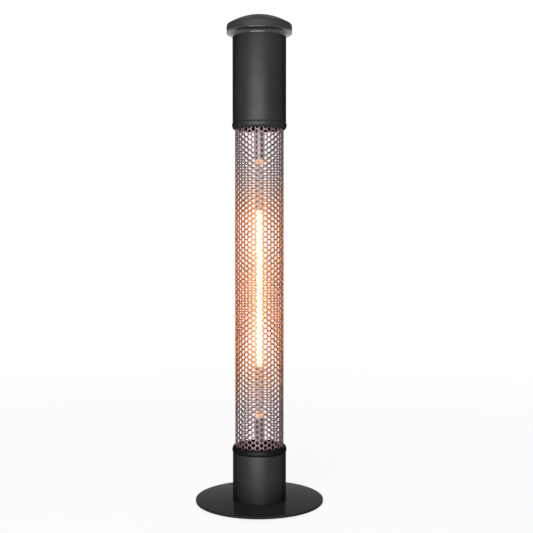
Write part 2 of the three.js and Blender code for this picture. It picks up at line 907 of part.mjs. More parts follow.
function addSwitch() {
  const wellWidth = switchBodyWidth - 2 * switchWall;
  const flange = box(
    switchBezelWidth, switchBezelProud, switchBezelHeight,
    0, switchSeat + switchBezelProud / 2, switchHeight,
  );
  const body = box(
    switchBodyWidth, switchBodyDepth, switchBodyHeight,
    0, switchSeat + switchBodyRoot - switchBodyDepth / 2, switchHeight,
  );
  const well = box(
    wellWidth, switchWellDepth + overshoot, switchBodyHeight - 2 * switchWall,
    0, switchSeat + switchBezelProud + (overshoot - switchWellDepth) / 2, switchHeight,
  );
  const across = (radius, length) => rod(radius, -length / 2, length / 2, pinSides)
    .rotateY(Math.PI / 2)
    .translate(0, switchSeat, switchHeight);
  const pinLength = wellWidth + 2 * rockerPin;
  const pinHoles = across(rockerPin + fit, pinLength + 2 * fit);
  add('switch_body', cut(join(flange, body), well, pinHoles), blackPlastic());

  // The rocker's face is a shallow V over its pivot pins; it rests tipped to "on", top pressed.
  const rockerWidth = wellWidth - 2 * fit;
  const side = new THREE.Shape();
  const half = rockerLength / 2;
  side.moveTo(-half, -rockerDepth);
  side.lineTo(half, -rockerDepth);
  side.lineTo(half, rockerProud);
  side.lineTo(0, rockerProud - rockerDip);
  side.lineTo(-half, rockerProud);
  side.closePath();
  const rocker = new THREE.ExtrudeGeometry(side, { depth: rockerWidth, bevelEnabled: false })
    .translate(0, 0, -rockerWidth / 2)
    .rotateZ(THREE.MathUtils.degToRad(-rockerTilt))
    .rotateY(-Math.PI / 2)
    .translate(0, switchSeat, switchHeight);
  add('switch_rocker', join(rocker, across(rockerPin, pinLength)), blackPlastic());
}

// ---------------------------------------------------------------- cable gland

const glandSeatY = housingRadius - glandFlat;

function addGland() {
  const nutFace = housingBore - glandSeatY - fit - glandNutPlay;
  const threadTop = glandHexWidth + glandThreadNose;
  const body = join(
    hexagon(glandHexRadius, 0, glandHexWidth),
    rod(glandThreadRadius, nutFace - glandNutWidth - glandThreadTail, threadTop),
  );
  const bore = rod(glandBore, -through, through, pinSides);
  add('gland_body', pointOutwards(cut(body, bore), 0, glandSeatY, glandHeight), blackPlastic());

  const domeBottom = glandHexWidth + fit;
  const dome = cut(
    revolve([
      [0, domeBottom],
      [glandDomeRadius, domeBottom],
      [glandDomeRadius, domeBottom + glandDomeLength * glandDomeShoulder],
      [glandDomeRadius * glandDomeNose, domeBottom + glandDomeLength],
      [0, domeBottom + glandDomeLength],
    ], smallSides),
    bore,
    rod(glandThreadRadius + fit, domeBottom - overshoot, threadTop + fit),
  );
  add('gland_dome_nut', pointOutwards(dome, 0, glandSeatY, glandHeight), blackPlastic());

  const lockNut = cut(
    hexagon(glandHexRadius, nutFace - glandNutWidth, nutFace),
    rod(glandThreadRadius + fit, -through, through),
  );
  add('gland_lock_nut', pointOutwards(lockNut, 0, glandSeatY, glandHeight), blackPlastic());
}

// ---------------------------------------------------------------- tilt switch and electrics

function addTiltSwitch() {
  const floor = baseRingTop;
  const cheekX = tiltWidth / 2 + tiltCheekThickness / 2;
  const cheekTop = floor + tiltCheekHeight;
  const base = box(
    tiltWidth + 2 * tiltCheekThickness, tiltCheekDepth, tiltBaseThickness,
    0, 0, floor + tiltBaseThickness / 2,
  );
  const cheeks = [-1, 1].map((side) => box(
    tiltCheekThickness, tiltCheekDepth, tiltCheekHeight,
    side * cheekX, 0, floor + tiltCheekHeight / 2,
  ));
  const roof = box(
    tiltWidth + 2 * tiltCheekThickness, tiltCheekDepth, tiltBaseThickness,
    0, 0, cheekTop - tiltBaseThickness / 2,
  );
  const pivot = floor + pinLevel;
  const pinLength = tiltWidth + 2 * (tiltCheekThickness + pinProud);
  const across = (geometry, z) => geometry.rotateY(Math.PI / 2).translate(0, 0, z);
  const pinHole = across(rod(pinRadius + pinHolePlay, -through, through, pinSides), pivot);
  const bracket = cut(join(base, ...cheeks, roof), pinHole);
  add('tilt_bracket', bracket.translate(tiltX, 0, 0), zinc());

  const pin = across(rod(pinRadius, -pinLength / 2, pinLength / 2, pinSides), pivot);
  add('tilt_pin', pin.translate(tiltX, 0, 0), steel());

  const arm = box(armThickness, armWidth, bobDrop, 0, 0, pivot - bobDrop / 2);
  const hubHalf = tiltWidth / 2 - hubPlay;
  const hub = across(rod(pinRadius + hubWall, -hubHalf, hubHalf, pinSides), pivot);
  const bob = across(rod(bobRadius, -bobWidth / 2, bobWidth / 2), pivot - bobDrop);
  const eye = across(rod(pinRadius + eyePlay, -through, through, pinSides), pivot);
  add('tilt_pendulum', cut(join(arm, hub, bob), eye).translate(tiltX, 0, 0), brass());

  const micro = box(...microSize, tiltX, 0, cheekTop + microSize[2] / 2);
  add('tilt_microswitch', micro, blackPlastic());
}

function addElectrics() {
  const [sizeX, sizeY, sizeZ] = blockSize;
  const block = box(sizeX, sizeY, sizeZ, 0, blockY, plateTop + sizeZ / 2);
  const [slotX, slotY, slotZ] = blockSlot;
  const slots = [-1, 0, 1].map((place) => box(
    slotX, slotY, 2 * slotZ, place * blockSlotPitch, blockY, plateTop + sizeZ,
  ));
  add('terminal_block', cut(block, ...slots), ceramic());

  const deckUpper = upperBottom - deckLift;
  const cutout = revolve([
    [0, deckUpper],
    [cutoutRadius, deckUpper],
    [cutoutRadius, deckUpper + cutoutHeight * cutoutShoulder],
    [cutoutRadius * cutoutShoulder, deckUpper + cutoutHeight],
    [0, deckUpper + cutoutHeight],
  ], smallSides);
  add('thermal_cutout', cutout.translate(cutoutX, 0, 0), ceramic());
}

addBase();
addLowerHousing();
addSwitch();
addGland();
addTiltSwitch();
addElectrics();
addCollar('lower');
addLampEnd('lower');
addQuartzTube();
addHeatingElement();
addConduit();
addCage();
addLampEnd('upper');
addCollar('upper');
addUpperHousing();
addCapRing();
addCapDome();
addCapBridge();
addSideScrews();

export default group;
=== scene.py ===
import math

import bmesh
import bpy
from mathutils import Matrix, Vector

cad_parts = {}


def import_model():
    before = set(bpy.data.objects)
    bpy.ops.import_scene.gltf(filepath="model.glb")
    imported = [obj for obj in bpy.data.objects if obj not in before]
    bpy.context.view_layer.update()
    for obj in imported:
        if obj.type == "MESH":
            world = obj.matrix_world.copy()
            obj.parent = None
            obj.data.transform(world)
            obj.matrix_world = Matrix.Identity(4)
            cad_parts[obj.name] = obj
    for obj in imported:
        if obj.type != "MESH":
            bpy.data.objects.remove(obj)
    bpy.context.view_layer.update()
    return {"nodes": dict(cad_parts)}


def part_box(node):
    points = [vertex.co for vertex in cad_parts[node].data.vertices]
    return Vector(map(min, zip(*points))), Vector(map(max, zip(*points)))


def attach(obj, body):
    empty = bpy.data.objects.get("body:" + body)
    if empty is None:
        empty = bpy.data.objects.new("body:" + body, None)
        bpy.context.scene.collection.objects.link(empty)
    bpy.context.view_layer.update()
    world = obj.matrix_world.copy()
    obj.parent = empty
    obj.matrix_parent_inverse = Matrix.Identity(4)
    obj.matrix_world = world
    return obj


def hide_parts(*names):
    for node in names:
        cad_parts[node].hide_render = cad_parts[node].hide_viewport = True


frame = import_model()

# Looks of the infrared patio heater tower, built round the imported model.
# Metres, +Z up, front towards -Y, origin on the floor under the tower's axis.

MM = 0.001
BODY = "tower"

# ---------------------------------------------------------------- sizes from the frame


def span(node):
    """Lowest height, highest height and largest radius of a node that stands on the axis."""
    low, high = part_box(node)
    return low[2], high[2], high[0]


def middle(node, axis):
    """Middle of a node's box along an axis."""
    low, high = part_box(node)
    return (low[axis] + high[axis]) / 2


PLATE_LOW, PLATE_TOP, PLATE_R = span("base_plate")
LOWER_LOW, LOWER_TOP, HOUSING_R = span("lower_housing")
UPPER_LOW, UPPER_TOP, _ = span("upper_housing")
_, LOWER_RIM, BEAD_R = span("lower_collar")
CAGE_LOW, CAGE_TOP, CAGE_R = span("cage")
_, DECK_TOP, DECK_R = span("lower_deck")
UP_DECK_LOW, _, _ = span("upper_deck")
RING_LOW, _, CAP_R = span("cap_ring")
DOME_LOW, CAP_TOP, _ = span("cap_dome")
_, LOWER_MOUTH, HOLDER_R = span("lower_lamp_holder")
UPPER_MOUTH, _, _ = span("upper_lamp_holder")
LAMP_LOW, LAMP_TOP, QUARTZ_R = span("quartz_tube")
_, LOW_CAP_TOP, SLEEVE_R = span("lower_lamp_cap")
UP_CAP_LOW, _, _ = span("upper_lamp_cap")

WALL = 1.5 * MM
FIT = 0.3 * MM
# Heights between which the element glows in the photo.
ELEMENT_LOW, ELEMENT_TOP = 0.285, 0.597

# ---------------------------------------------------------------- materials

# Noise seldom leaves this stretch, so what follows a noise is spread over it.
NOISE_LOW, NOISE_HIGH = 0.3, 0.7
COOL, WARM = (0.98, 1, 1.02), (1, 1, 0.99)
# Depths of relief: orange peel in a coat, and the fine grain of metal and moulded surfaces.
PEEL = 0.2 * MM
GRAIN = 0.1 * MM


def shade(value, tint):
    return tuple(value * part for part in tint)


def calculate(tree, operation, *terms):
    """Math node in a tree, where each term is a socket or a number."""
    node = tree.nodes.new("ShaderNodeMath")
    node.operation = operation
    for target, term in zip(node.inputs, terms):
        if isinstance(term, (int, float)):
            target.default_value = term
        else:
            tree.links.new(term, target)
    return node.outputs["Value"]


def seen(tree):
    """1 for rays from the eye and those that mirrors and glass pass on, and 0 for all others."""
    rays = tree.nodes.new("ShaderNodeLightPath").outputs
    either = calculate(tree, "MAXIMUM", rays["Is Camera Ray"], rays["Is Glossy Ray"])
    return calculate(tree, "MAXIMUM", either, rays["Is Transmission Ray"])


class Nodes:
    """A material's node tree with short ways to add the nodes that the finishes share."""

    def __init__(self, name):
        self.material = bpy.data.materials.new(name)
        self.material.use_nodes = True
        self.tree = self.material.node_tree
        self.shader = self.tree.nodes["Principled BSDF"]
        self.coords = self.add("ShaderNodeTexCoord").outputs["Object"]

    def add(self, kind, **inputs):
        node = self.tree.nodes.new(kind)
        for key, value in inputs.items():
            node.inputs[key.replace("_", " ")].default_value = value
        return node

    def link(self, source, target):
        self.tree.links.new(source, target)

    def set(self, **values):
        for key, value in values.items():
            self.shader.inputs[key.replace("_", " ")].default_value = value

    def noise(self, scale, detail, stretch=(1, 1, 1)):
        mapping = self.add("ShaderNodeMapping", Scale=stretch)
        self.link(self.coords, mapping.inputs["Vector"])
        node = self.add("ShaderNodeTexNoise", Scale=scale, Detail=detail)
        self.link(mapping.outputs["Vector"], node.inputs["Vector"])
        return node.outputs["Fac"]

    def ramp(self, factor, dark, light, start=NOISE_LOW):
        """Colour from dark to light, as the factor goes from start to 1 - start."""
        node = self.add("ShaderNodeValToRGB")
        first, last = node.color_ramp.elements
        first.position, first.color = start, (*dark, 1)
        last.position, last.color = 1 - start, (*light, 1)
        self.link(factor, node.inputs["Fac"])
        return node.outputs["Color"]

    def spread(self, factor, low, high):
        node = self.add("ShaderNodeMapRange", From_Min=NOISE_LOW, From_Max=NOISE_HIGH,
                        To_Min=low, To_Max=high)
        self.link(factor, node.inputs["Value"])
        return node.outputs["Result"]

    def step(self, value, start, end, first=0.0):
        """Smooth step of a value, from the first level at the start to 1 at the end."""
        node = self.add("ShaderNodeMapRange", From_Min=start, From_Max=end, To_Min=first)
        node.interpolation_type = "SMOOTHSTEP"
        self.link(value, node.inputs["Value"])
        return node.outputs["Result"]

    def band(self, low, high, fade):
        """1 between two heights, falling to 0 over the fade beyond each."""
        parts = self.add("ShaderNodeSeparateXYZ")
        self.link(self.coords, parts.inputs["Vector"])
        height = parts.outputs["Z"]
        return calculate(self.tree, "MULTIPLY", self.step(height, low - fade, low),
                         self.step(height, high + fade, high))

    def tone(self, color):
        self.link(color, self.shader.inputs["Base Color"])

    def gloss(self, factor, low, high):
        self.link(self.spread(factor, low, high), self.shader.inputs["Roughness"])

    def bump(self, height, strength, distance):
        node = self.add("ShaderNodeBump", Strength=strength, Distance=distance)
        self.link(height, node.inputs["Height"])
        self.link(node.outputs["Normal"], self.shader.inputs["Normal"])

    def heat(self, fade, color, strength):
        """A glow over the element's length that fades out beyond both its ends: the carbon's own
        glow, and a painted glow on the glass.
        """
        near = self.band(ELEMENT_LOW, ELEMENT_TOP, fade)
        level = calculate(self.tree, "MULTIPLY", near, strength)
        self.set(Emission_Color=(*color, 1))
        self.link(level, self.shader.inputs["Emission Strength"])


def coated(name, dark, light, rough, grain, lift, **shader):
    """Black coat with a fine orange-peel grain and a slow drift of tone and of gloss."""
    n = Nodes(name)
    n.tone(n.ramp(n.noise(9, 4), shade(dark, COOL), shade(light, WARM), 0.35))
    n.gloss(n.noise(35, 5), rough - 0.04, rough + 0.05)
    n.set(**shader)
    n.bump(n.noise(grain, 2), lift, PEEL)
    return n.material


def painted(name, dark, light, rough, grain=1400.0, lift=0.25, edge=0.02):
    """Powder coat, set nearly metallic with a dark edge tint, whose sheen dies away where the
    surface turns edge-on: painted shade along its edges.
    """
    # The dark edge tint is painted shade along the coat's edges.
    return coated(name, dark, light, rough, grain, lift,
                  Metallic=0.9, Specular_IOR_Level=0.2, Specular_Tint=(edge, edge, edge, 1))


def enamel(name, dark, light, rough, specular, grain, lift):
    """Smooth black enamel, nearly level."""
    return coated(name, dark, light, rough, grain, lift, Specular_IOR_Level=specular)


def metal(name, color, rough, stretch, grain, lift=0.15, edge=1.0):
    """Rolled or drawn metal: fine lines along the stretch and a slow drift of tone."""
    n = Nodes(name)
    lines = n.noise(grain, 4, stretch)
    n.tone(n.ramp(n.noise(40, 5), shade(0.9, color), shade(1.08, color)))
    n.gloss(lines, rough * 0.8, rough * 1.3)
    n.set(Metallic=1.0, Specular_Tint=(edge, edge, edge, 1))
    n.bump(lines, lift, GRAIN)
    return n.material


def moulded(name, dark, light, rough, grain=900.0, lift=0.2):
    """Moulded plastic or rubber with a fine spark-eroded texture."""
    n = Nodes(name)
    n.tone(n.ramp(n.noise(25, 3), dark, light, 0.35))
    n.gloss(n.noise(120, 3), rough - 0.06, rough + 0.06)
    n.set(Specular_IOR_Level=0.3)
    n.bump(n.noise(grain, 2), lift, GRAIN)
    return n.material


def caged_steel():
    """Steel of the cage: satin, with a painted orange-brown glow of the element over its length
    and painted shade at its grazing edges.
    """
    n = Nodes("perforated_steel")
    lines = n.noise(500, 4, (1, 1, 0.05))
    mix = n.add("ShaderNodeMix")
    mix.data_type = "RGBA"
    # Painted glow: over the element's length the tone turns orange-brown, for the element's light
    # on the steel.
    n.link(n.band(ELEMENT_LOW, ELEMENT_TOP, 0.10), mix.inputs["Factor"])
    n.link(n.ramp(n.noise(40, 5), (0.165, 0.113, 0.110), (0.213, 0.147, 0.143)), mix.inputs["A"])
    n.link(n.ramp(n.noise(30, 5), (0.31, 0.125, 0.060), (0.38, 0.170, 0.085)), mix.inputs["B"])
    n.tone(mix.outputs["Result"])
    n.gloss(lines, 0.46, 0.64)
    # The dark edge tint is painted shade along the sheet's grazing edges.
    n.set(Metallic=0.84, Specular_IOR_Level=0.3, Specular_Tint=(0.12, 0.06, 0.05, 1))
    n.bump(lines, 0.15, GRAIN)
    return n.material


def quartz():
    """Clear quartz that shows its walls at the edges, with a faint painted glow round the hot
    element.
    """
    n = Nodes("quartz_glass")
    n.set(Roughness=0.04, IOR=1.46, Base_Color=(0.14, 0.13, 0.125, 1))
    facing = n.add("ShaderNodeLayerWeight", Blend=0.35)
    haze = n.spread(n.noise(60, 4, (1, 1, 0.2)), 0.10, 0.16)
    rim = calculate(n.tree, "MULTIPLY_ADD", facing.outputs["Facing"], 0.45, haze)
    n.link(rim, n.shader.inputs["Alpha"])
    # Painted glow: emission in the glass stands for the element's light within it.
    n.heat(0.008, (1.0, 0.38, 0.08), 1.2)
    return n.material


def glow():
    """Carbon strip at white heat, dark and cool past its ends."""
    n = Nodes("glowing_carbon")
    n.set(Roughness=0.7)
    n.tone(n.ramp(n.noise(900, 3), (0.02, 0.018, 0.016), (0.06, 0.05, 0.045)))
    n.heat(0.006, (1.0, 0.50, 0.17), 70.0)
    return n.material


def ceramic(name, **shader):
    """Unglazed steatite, warm white with fine pores."""
    n = Nodes(name)
    n.tone(n.ramp(n.noise(220, 5), (0.44, 0.36, 0.28), (0.55, 0.47, 0.38), 0.35))
    n.set(Roughness=0.75, Specular_IOR_Level=0.25, **shader)
    n.bump(n.noise(1800, 3), 0.3, GRAIN)
    return n.material


black_paint = painted("black_powder_coat", 0.028, 0.035, 0.46)
black_cap_paint = painted("black_cap_paint", 0.040, 0.046, 0.60, grain=1100, lift=0.2, edge=0.4)
# A darker copy of the black powder coat, for the lower collar and both decks: painted shade.
black_paint_painted_shade = painted("black_paint_painted_shade", 0.010, 0.013, 0.42)
black_ring = enamel("black_ring_enamel", 0.012, 0.015, 0.20, specular=0.5, grain=1100, lift=0.1)
black_plate = enamel("black_plate_enamel", 0.014, 0.017, 0.16, specular=0.009, grain=700,
                     lift=0.05)
mesh_steel = caged_steel()
bright_steel = metal("polished_steel", (0.17, 0.158, 0.158), 0.22, (1, 1, 0.03), 900,
                     lift=0.08, edge=0.3)
zinc_steel = metal("zinc_plated_steel", (0.52, 0.52, 0.49), 0.36, (1, 1, 1), 700)
plain_brass = metal("plain_brass", (0.62, 0.44, 0.17), 0.3, (1, 1, 0.2), 600)
black_nylon = moulded("black_nylon", (0.018, 0.018, 0.019), (0.026, 0.026, 0.027), 0.42)
black_rubber = moulded("black_rubber", (0.010, 0.010, 0.010), (0.017, 0.016, 0.016), 0.78,
                       grain=500, lift=0.3)
steatite = ceramic("steatite")
# Painted glow: the caps by the lamp carry an orange emission for the element's light on them.
glow_painted_steatite = ceramic("steatite_with_painted_glow", Emission_Color=(1.0, 0.30, 0.06, 1),
                       Emission_Strength=0.7)
quartz_glass = quartz()
glowing_carbon = glow()

# ---------------------------------------------------------------- mesh helpers

# Shading breaks over edges that turn by more degrees than this.
SHARP = 35
ON_AXIS = 1e-7
THROUGH = 40 * MM


def rounded(points, steps=4):
    """Closed outline from (radius, height[, fillet]) points, with each stated corner rounded."""
    outline = []
    count = len(points)
    for i, point in enumerate(points):
        here = Vector(point[:2])
        fillet = point[2] if len(point) > 2 else 0
        if not fillet:
            outline.append(tuple(here))
            continue
        back = (Vector(points[i - 1][:2]) - here).normalized()
        ahead = (Vector(points[(i + 1) % count][:2]) - here).normalized()
        half = back.angle(ahead) / 2
        centre = here + (back + ahead).normalized() * fillet / math.sin(half)
        start = here + back * fillet / math.tan(half) - centre
        end = here + ahead * fillet / math.tan(half) - centre
        sweep = start.angle(end)
        for k in range(steps + 1):
            share = k / steps
            spoke = (start * math.sin((1 - share) * sweep) + end * math.sin(share * sweep))
            outline.append(tuple(centre + spoke / math.sin(sweep)))
    return outline


def arc(r0, z0, r1, z1, steps):
    """Quarter ellipse from (r0, z0), which it leaves along the axis, to (r1, z1)."""
    return [
        (r1 + (r0 - r1) * math.cos(k / steps * math.pi / 2),
         z0 + (z1 - z0) * math.sin(k / steps * math.pi / 2))
        for k in range(steps + 1)
    ]


def ring_faces(rings, sides):
    """Faces of a closed solid whose corners come ring by ring, with the same count in each."""
    last = (rings - 1) * sides
    faces = [list(range(sides)), list(range(last, last + sides))]
    for start in range(0, last, sides):
        for k in range(sides):
            a, b = start + k, start + (k + 1) % sides
            faces.append([a, b, b + sides, a + sides])
    return faces


def smooth(mesh, angle):
    mesh.polygons.foreach_set("use_smooth", [True] * len(mesh.polygons))
    mesh.set_sharp_from_angle(angle=math.radians(angle))


def make(name, vertices, faces, material, angle=SHARP):
    """Mesh object with outward faces, smooth except over edges sharper than the angle."""
    mesh = bpy.data.meshes.new(name)
    mesh.from_pydata(vertices, [], faces)
    shape = bmesh.new()
    shape.from_mesh(mesh)
    bmesh.ops.recalc_face_normals(shape, faces=shape.faces)
    shape.to_mesh(mesh)
    shape.free()
    smooth(mesh, angle)
    if material:
        mesh.materials.append(material)
    piece = bpy.data.objects.new(name, mesh)
    bpy.context.scene.collection.objects.link(piece)
    return piece


def lathe(name, outline, material, segments=128, angle=SHARP):
    """Solid of revolution about +Z from an outline of (radius, height) points."""
    vertices, rings, faces = [], [], []
    for radius, height in outline:
        if radius < ON_AXIS:
            rings.append([len(vertices)])
            vertices.append((0, 0, height))
            continue
        rings.append(list(range(len(vertices), len(vertices) + segments)))
        vertices += [(x, y, height) for x, y in polygon(radius, segments)]
    for k, ring in enumerate(rings):
        other = rings[(k + 1) % len(rings)]
        if len(ring) == 1 and len(other) == 1:
            continue
        for i in range(segments):
            j = (i + 1) % segments
            corners = [ring[i % len(ring)], ring[j % len(ring)],
                       other[j % len(other)], other[i % len(other)]]
            faces.append(list(dict.fromkeys(corners)))
    return make(name, vertices, faces, material, angle)


def prism(name, outline, low, high, material=None, angle=SHARP):
    """Upright prism from an outline of (x, y) points."""
    vertices = [(x, y, z) for z in (low, high) for x, y in outline]
    return make(name, vertices, ring_faces(2, len(outline)), material, angle)


def block(name, low, high, material=None):
    corners = [(low[0], low[1]), (high[0], low[1]), (high[0], high[1]), (low[0], high[1])]
    return prism(name, corners, low[2], high[2], material)


def polygon(radius, sides):
    turns = [2 * math.pi * i / sides for i in range(sides)]
    return [(radius * math.cos(turn), radius * math.sin(turn)) for turn in turns]


def drill(radius, low, high, sides=16):
    """Cutting tool for a round hole along +Z."""
    return prism("hole", polygon(radius, sides), low, high)


def through(radius, sides=32):
    return drill(radius, -THROUGH, THROUGH, sides)


def settle(piece):
    """Applies a piece's modifiers to its mesh."""
    bpy.context.view_layer.update()
    source = piece.evaluated_get(bpy.context.evaluated_depsgraph_get())
    mesh = bpy.data.meshes.new_from_object(source)
    piece.modifiers.clear()
    piece.data = mesh
    smooth(mesh, SHARP)
    return piece


def cut(piece, *tools):
    """Subtracts closed tools from a piece and deletes them."""
    for tool in tools:
        step = piece.modifiers.new("cut", "BOOLEAN")
        step.operation = "DIFFERENCE"
        step.solver = "EXACT"
        step.object = tool
    settle(piece)
    for tool in tools:
        bpy.data.objects.remove(tool)
    return piece


def soften(piece, width, segments, angle):
    """Gives a piece a bevel on edges sharper than the angle, left as a modifier."""
    step = piece.modifiers.new("bevel", "BEVEL")
    step.width = width
    step.segments = segments
    step.limit_method = "ANGLE"
    step.angle_limit = math.radians(angle)


def bevel(piece, width, segments=3, angle=30):
    soften(piece, width, segments, angle)
    return settle(piece)


def rounded_box(name, low, high, radius, material, segments=4):
    return bevel(block(name, low, high, material), radius, segments)


def place(piece, matrix):
    piece.data.transform(matrix)
    return piece


def shift(piece, x=0.0, y=0.0, z=0.0):
    return place(piece, Matrix.Translation((x, y, z)))


def around(piece, circle, angle):
    turn = math.radians(angle)
    return shift(piece, circle * math.cos(turn), circle * math.sin(turn))


def stand(piece, height, upright):
    """Sets a piece that was built at height 0 on a height, or hangs it from there upside down."""
    if not upright:
        place(piece, Matrix.Rotation(math.pi, 4, "Y"))
    return shift(piece, z=height)


def lean(angle):
    return Matrix.Rotation(math.radians(angle), 4, "X")


def outwards(angle, radius, height):
    """Turns +Z to point straight out of the tower, at an angle from the back."""
    return (Matrix.Rotation(math.radians(angle), 4, "Z")
            @ Matrix.Translation((0, radius, height)) @ lean(-90))


def finish(piece, slot, *nodes, body=BODY):
    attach(piece, body)
    if nodes:
        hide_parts(*nodes)
    return piece


# ---------------------------------------------------------------- screws

SIDE_ANGLES = (-40, 40)
SIDE_LEVELS = {
    "lower": LOWER_TOP - 5 * MM,
    "upper": UPPER_LOW + 5 * MM,
    "cap": UPPER_TOP - 7 * MM,
}
SCREW_R = 1.5 * MM
SCREW_LENGTH = 6 * MM
SCREW_HOLE_R = SCREW_R + FIT
SIDE_HOLE = -8 * MM, 4 * MM
SIDE_HEAD_R, SIDE_HEAD_HEIGHT = 3.2 * MM, 1.6 * MM
DECK_HEAD_R, DECK_HEAD_HEIGHT = 3 * MM, 1.5 * MM


def pan_screw(name, head, height):
    """Pan-head screw with a cross recess, pointing down from height 0."""
    screw = lathe(name, rounded([
        (0, -SCREW_LENGTH), (SCREW_R * 0.7, -SCREW_LENGTH), (SCREW_R, SCREW_R - SCREW_LENGTH),
        (SCREW_R, 0), (head, 0), (head, height * 0.5, head * 0.12),
        (head * 0.55, height, head * 0.3), (0, height),
    ]), zinc_steel, 28)
    arm, half = head * 0.5, head * 0.12
    return cut(screw, *[block("recess", (-x, -y, height * 0.35), (x, y, height * 2))
                        for x, y in ((arm, half), (half, arm))])


def side_screws():
    for joint, level in SIDE_LEVELS.items():
        for i, angle in enumerate(SIDE_ANGLES):
            node = f"{joint}_side_screw_{i + 1}"
            screw = pan_screw(node + "_detail", SIDE_HEAD_R, SIDE_HEAD_HEIGHT)
            finish(place(screw, outwards(angle, HOUSING_R, level)), "zinc", node)


def side_holes(joint):
    return [place(drill(SCREW_HOLE_R, *SIDE_HOLE),
                  outwards(angle, HOUSING_R, SIDE_LEVELS[joint])) for angle in SIDE_ANGLES]


# ---------------------------------------------------------------- base and feet

SCREW_CIRCLE = 42 * MM
SCREW_ANGLES = (30, 150, 270)
BASE_HEAD_R = 5 * MM
BASE_HEAD_LAND = 0.4 * MM
BASE_HEAD_DEPTH = 2.5 * MM
BASE_SHANK_R = 2.5 * MM
BASE_SOCKET_R = 1.6 * MM
BASE_SOCKET_DEPTH = 1.6 * MM
# Where a pad's grooves start, as shares of its radius, and a groove's section from there on.
PAD_GROOVES = (0.40, 0.74)
PAD_GROOVE = ((0, 0), (0.02, 0.4 * MM), (0.10, 0.4 * MM), (0.12, 0))


def base_screw(name, material=None, grown=0.0, below=0.0, above=0.0):
    """Countersunk screw, head down. Grown and reaching on at both ends, it cuts its own hole."""
    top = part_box("base_screw_1")[1][2] + above
    head, shank = BASE_HEAD_R + grown, BASE_SHANK_R + grown
    return lathe(name, [
        (0, PLATE_LOW - below), (head, PLATE_LOW - below), (head, PLATE_LOW + BASE_HEAD_LAND),
        (shank, PLATE_LOW + BASE_HEAD_DEPTH + grown), (shank, top), (0, top),
    ], material, 28)


def base_plate():
    plate = lathe("base_plate_round", rounded([
        (0, PLATE_LOW), (PLATE_R, PLATE_LOW, 0.8 * MM), (PLATE_R, PLATE_TOP, 1.6 * MM),
        (0, PLATE_TOP),
    ], 6), black_plate, 192)
    holes = [base_screw("hole", grown=FIT, below=2 * MM, above=3 * MM) for _ in SCREW_ANGLES]
    cut(plate, *[around(hole, SCREW_CIRCLE, angle) for hole, angle in zip(holes, SCREW_ANGLES)])
    finish(plate, "black_plate", "base_plate")
    for i, angle in enumerate(SCREW_ANGLES):
        screw = base_screw(f"base_screw_{i + 1}_detail", zinc_steel)
        cut(screw, drill(BASE_SOCKET_R, PLATE_LOW - MM, PLATE_LOW + BASE_SOCKET_DEPTH, 6))
        finish(around(screw, SCREW_CIRCLE, angle), "zinc", f"base_screw_{i + 1}")


def foot_pads():
    """Rubber pads with a rounded edge and two grooves under each."""
    for i in range(4):
        node = f"foot_pad_{i + 1}"
        low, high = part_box(node)
        radius = (high[0] - low[0]) / 2
        grooves = [((start + reach) * radius, depth)
                   for start in PAD_GROOVES for reach, depth in PAD_GROOVE]
        pad = lathe(node + "_detail", rounded([
            (0, 0), *grooves, (radius, 0, 0.5 * MM), (radius * 0.97, high[2]), (0, high[2]),
        ]), black_rubber, 48)
        finish(shift(pad, middle(node, 0), middle(node, 1)), "rubber", node)


# ---------------------------------------------------------------- housings

LIP_WIDTH = 9.5 * MM
FLAT_SEAT = HOUSING_R - 1 * MM
FLAT_REACH = HOUSING_R + 5 * MM
GLAND_LEVEL = middle("gland_body", 2)
THREAD_HOLE_R = 6.3 * MM
GLAND_FLAT_HALF = 9.3 * MM
SWITCH_FLAT_HALF = 12.3 * MM
WINDOW_HALF = 9.8 * MM
WINDOW_INSET = 2.2 * MM
WINDOW_BACK, WINDOW_FRONT = HOUSING_R - 12 * MM, HOUSING_R + 9 * MM


def lower_housing():
    """Shell with a lip inwards at its foot, and flats at the back for the switch and the gland."""
    lip, bore = HOUSING_R - LIP_WIDTH, HOUSING_R - WALL
    shell = lathe("lower_housing_shell", rounded([
        (lip, LOWER_LOW), (HOUSING_R, LOWER_LOW, 0.6 * MM), (HOUSING_R, LOWER_TOP, 0.4 * MM),
        (bore, LOWER_TOP), (bore, LOWER_LOW + WALL), (lip, LOWER_LOW + WALL),
    ]), black_paint, 160)
    (_, _, switch_low), (_, _, switch_high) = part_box("switch_body")

    def opening(half, inside, outside, low, high):
        return block("opening", (-half, inside, low), (half, outside, high))

    cut(shell,
        opening(WINDOW_HALF, WINDOW_BACK, WINDOW_FRONT,
                switch_low + WINDOW_INSET, switch_high - WINDOW_INSET),
        place(drill(THREAD_HOLE_R, -9 * MM, 6 * MM, 32), outwards(0, HOUSING_R, GLAND_LEVEL)),
        opening(SWITCH_FLAT_HALF, FLAT_SEAT, FLAT_REACH, switch_low - FIT, switch_high + FIT),
        opening(GLAND_FLAT_HALF, FLAT_SEAT, FLAT_REACH,
                GLAND_LEVEL - GLAND_FLAT_HALF, GLAND_LEVEL + GLAND_FLAT_HALF),
        *side_holes("lower"))
    finish(shell, "black_paint", "lower_housing")


def upper_housing():
    bore = HOUSING_R - WALL
    shell = lathe("upper_housing_shell", rounded([
        (bore, UPPER_LOW), (HOUSING_R, UPPER_LOW, 0.4 * MM), (HOUSING_R, UPPER_TOP, 0.4 * MM),
        (bore, UPPER_TOP),
    ]), black_paint, 160)
    cut(shell, *side_holes("upper"), *side_holes("cap"))
    finish(shell, "black_paint", "upper_housing")


# ---------------------------------------------------------------- collars and decks

SPIGOT_LENGTH = 10 * MM
GROOVE_DEPTH = 8 * MM
GROOVE_WALL = 2.2 * MM
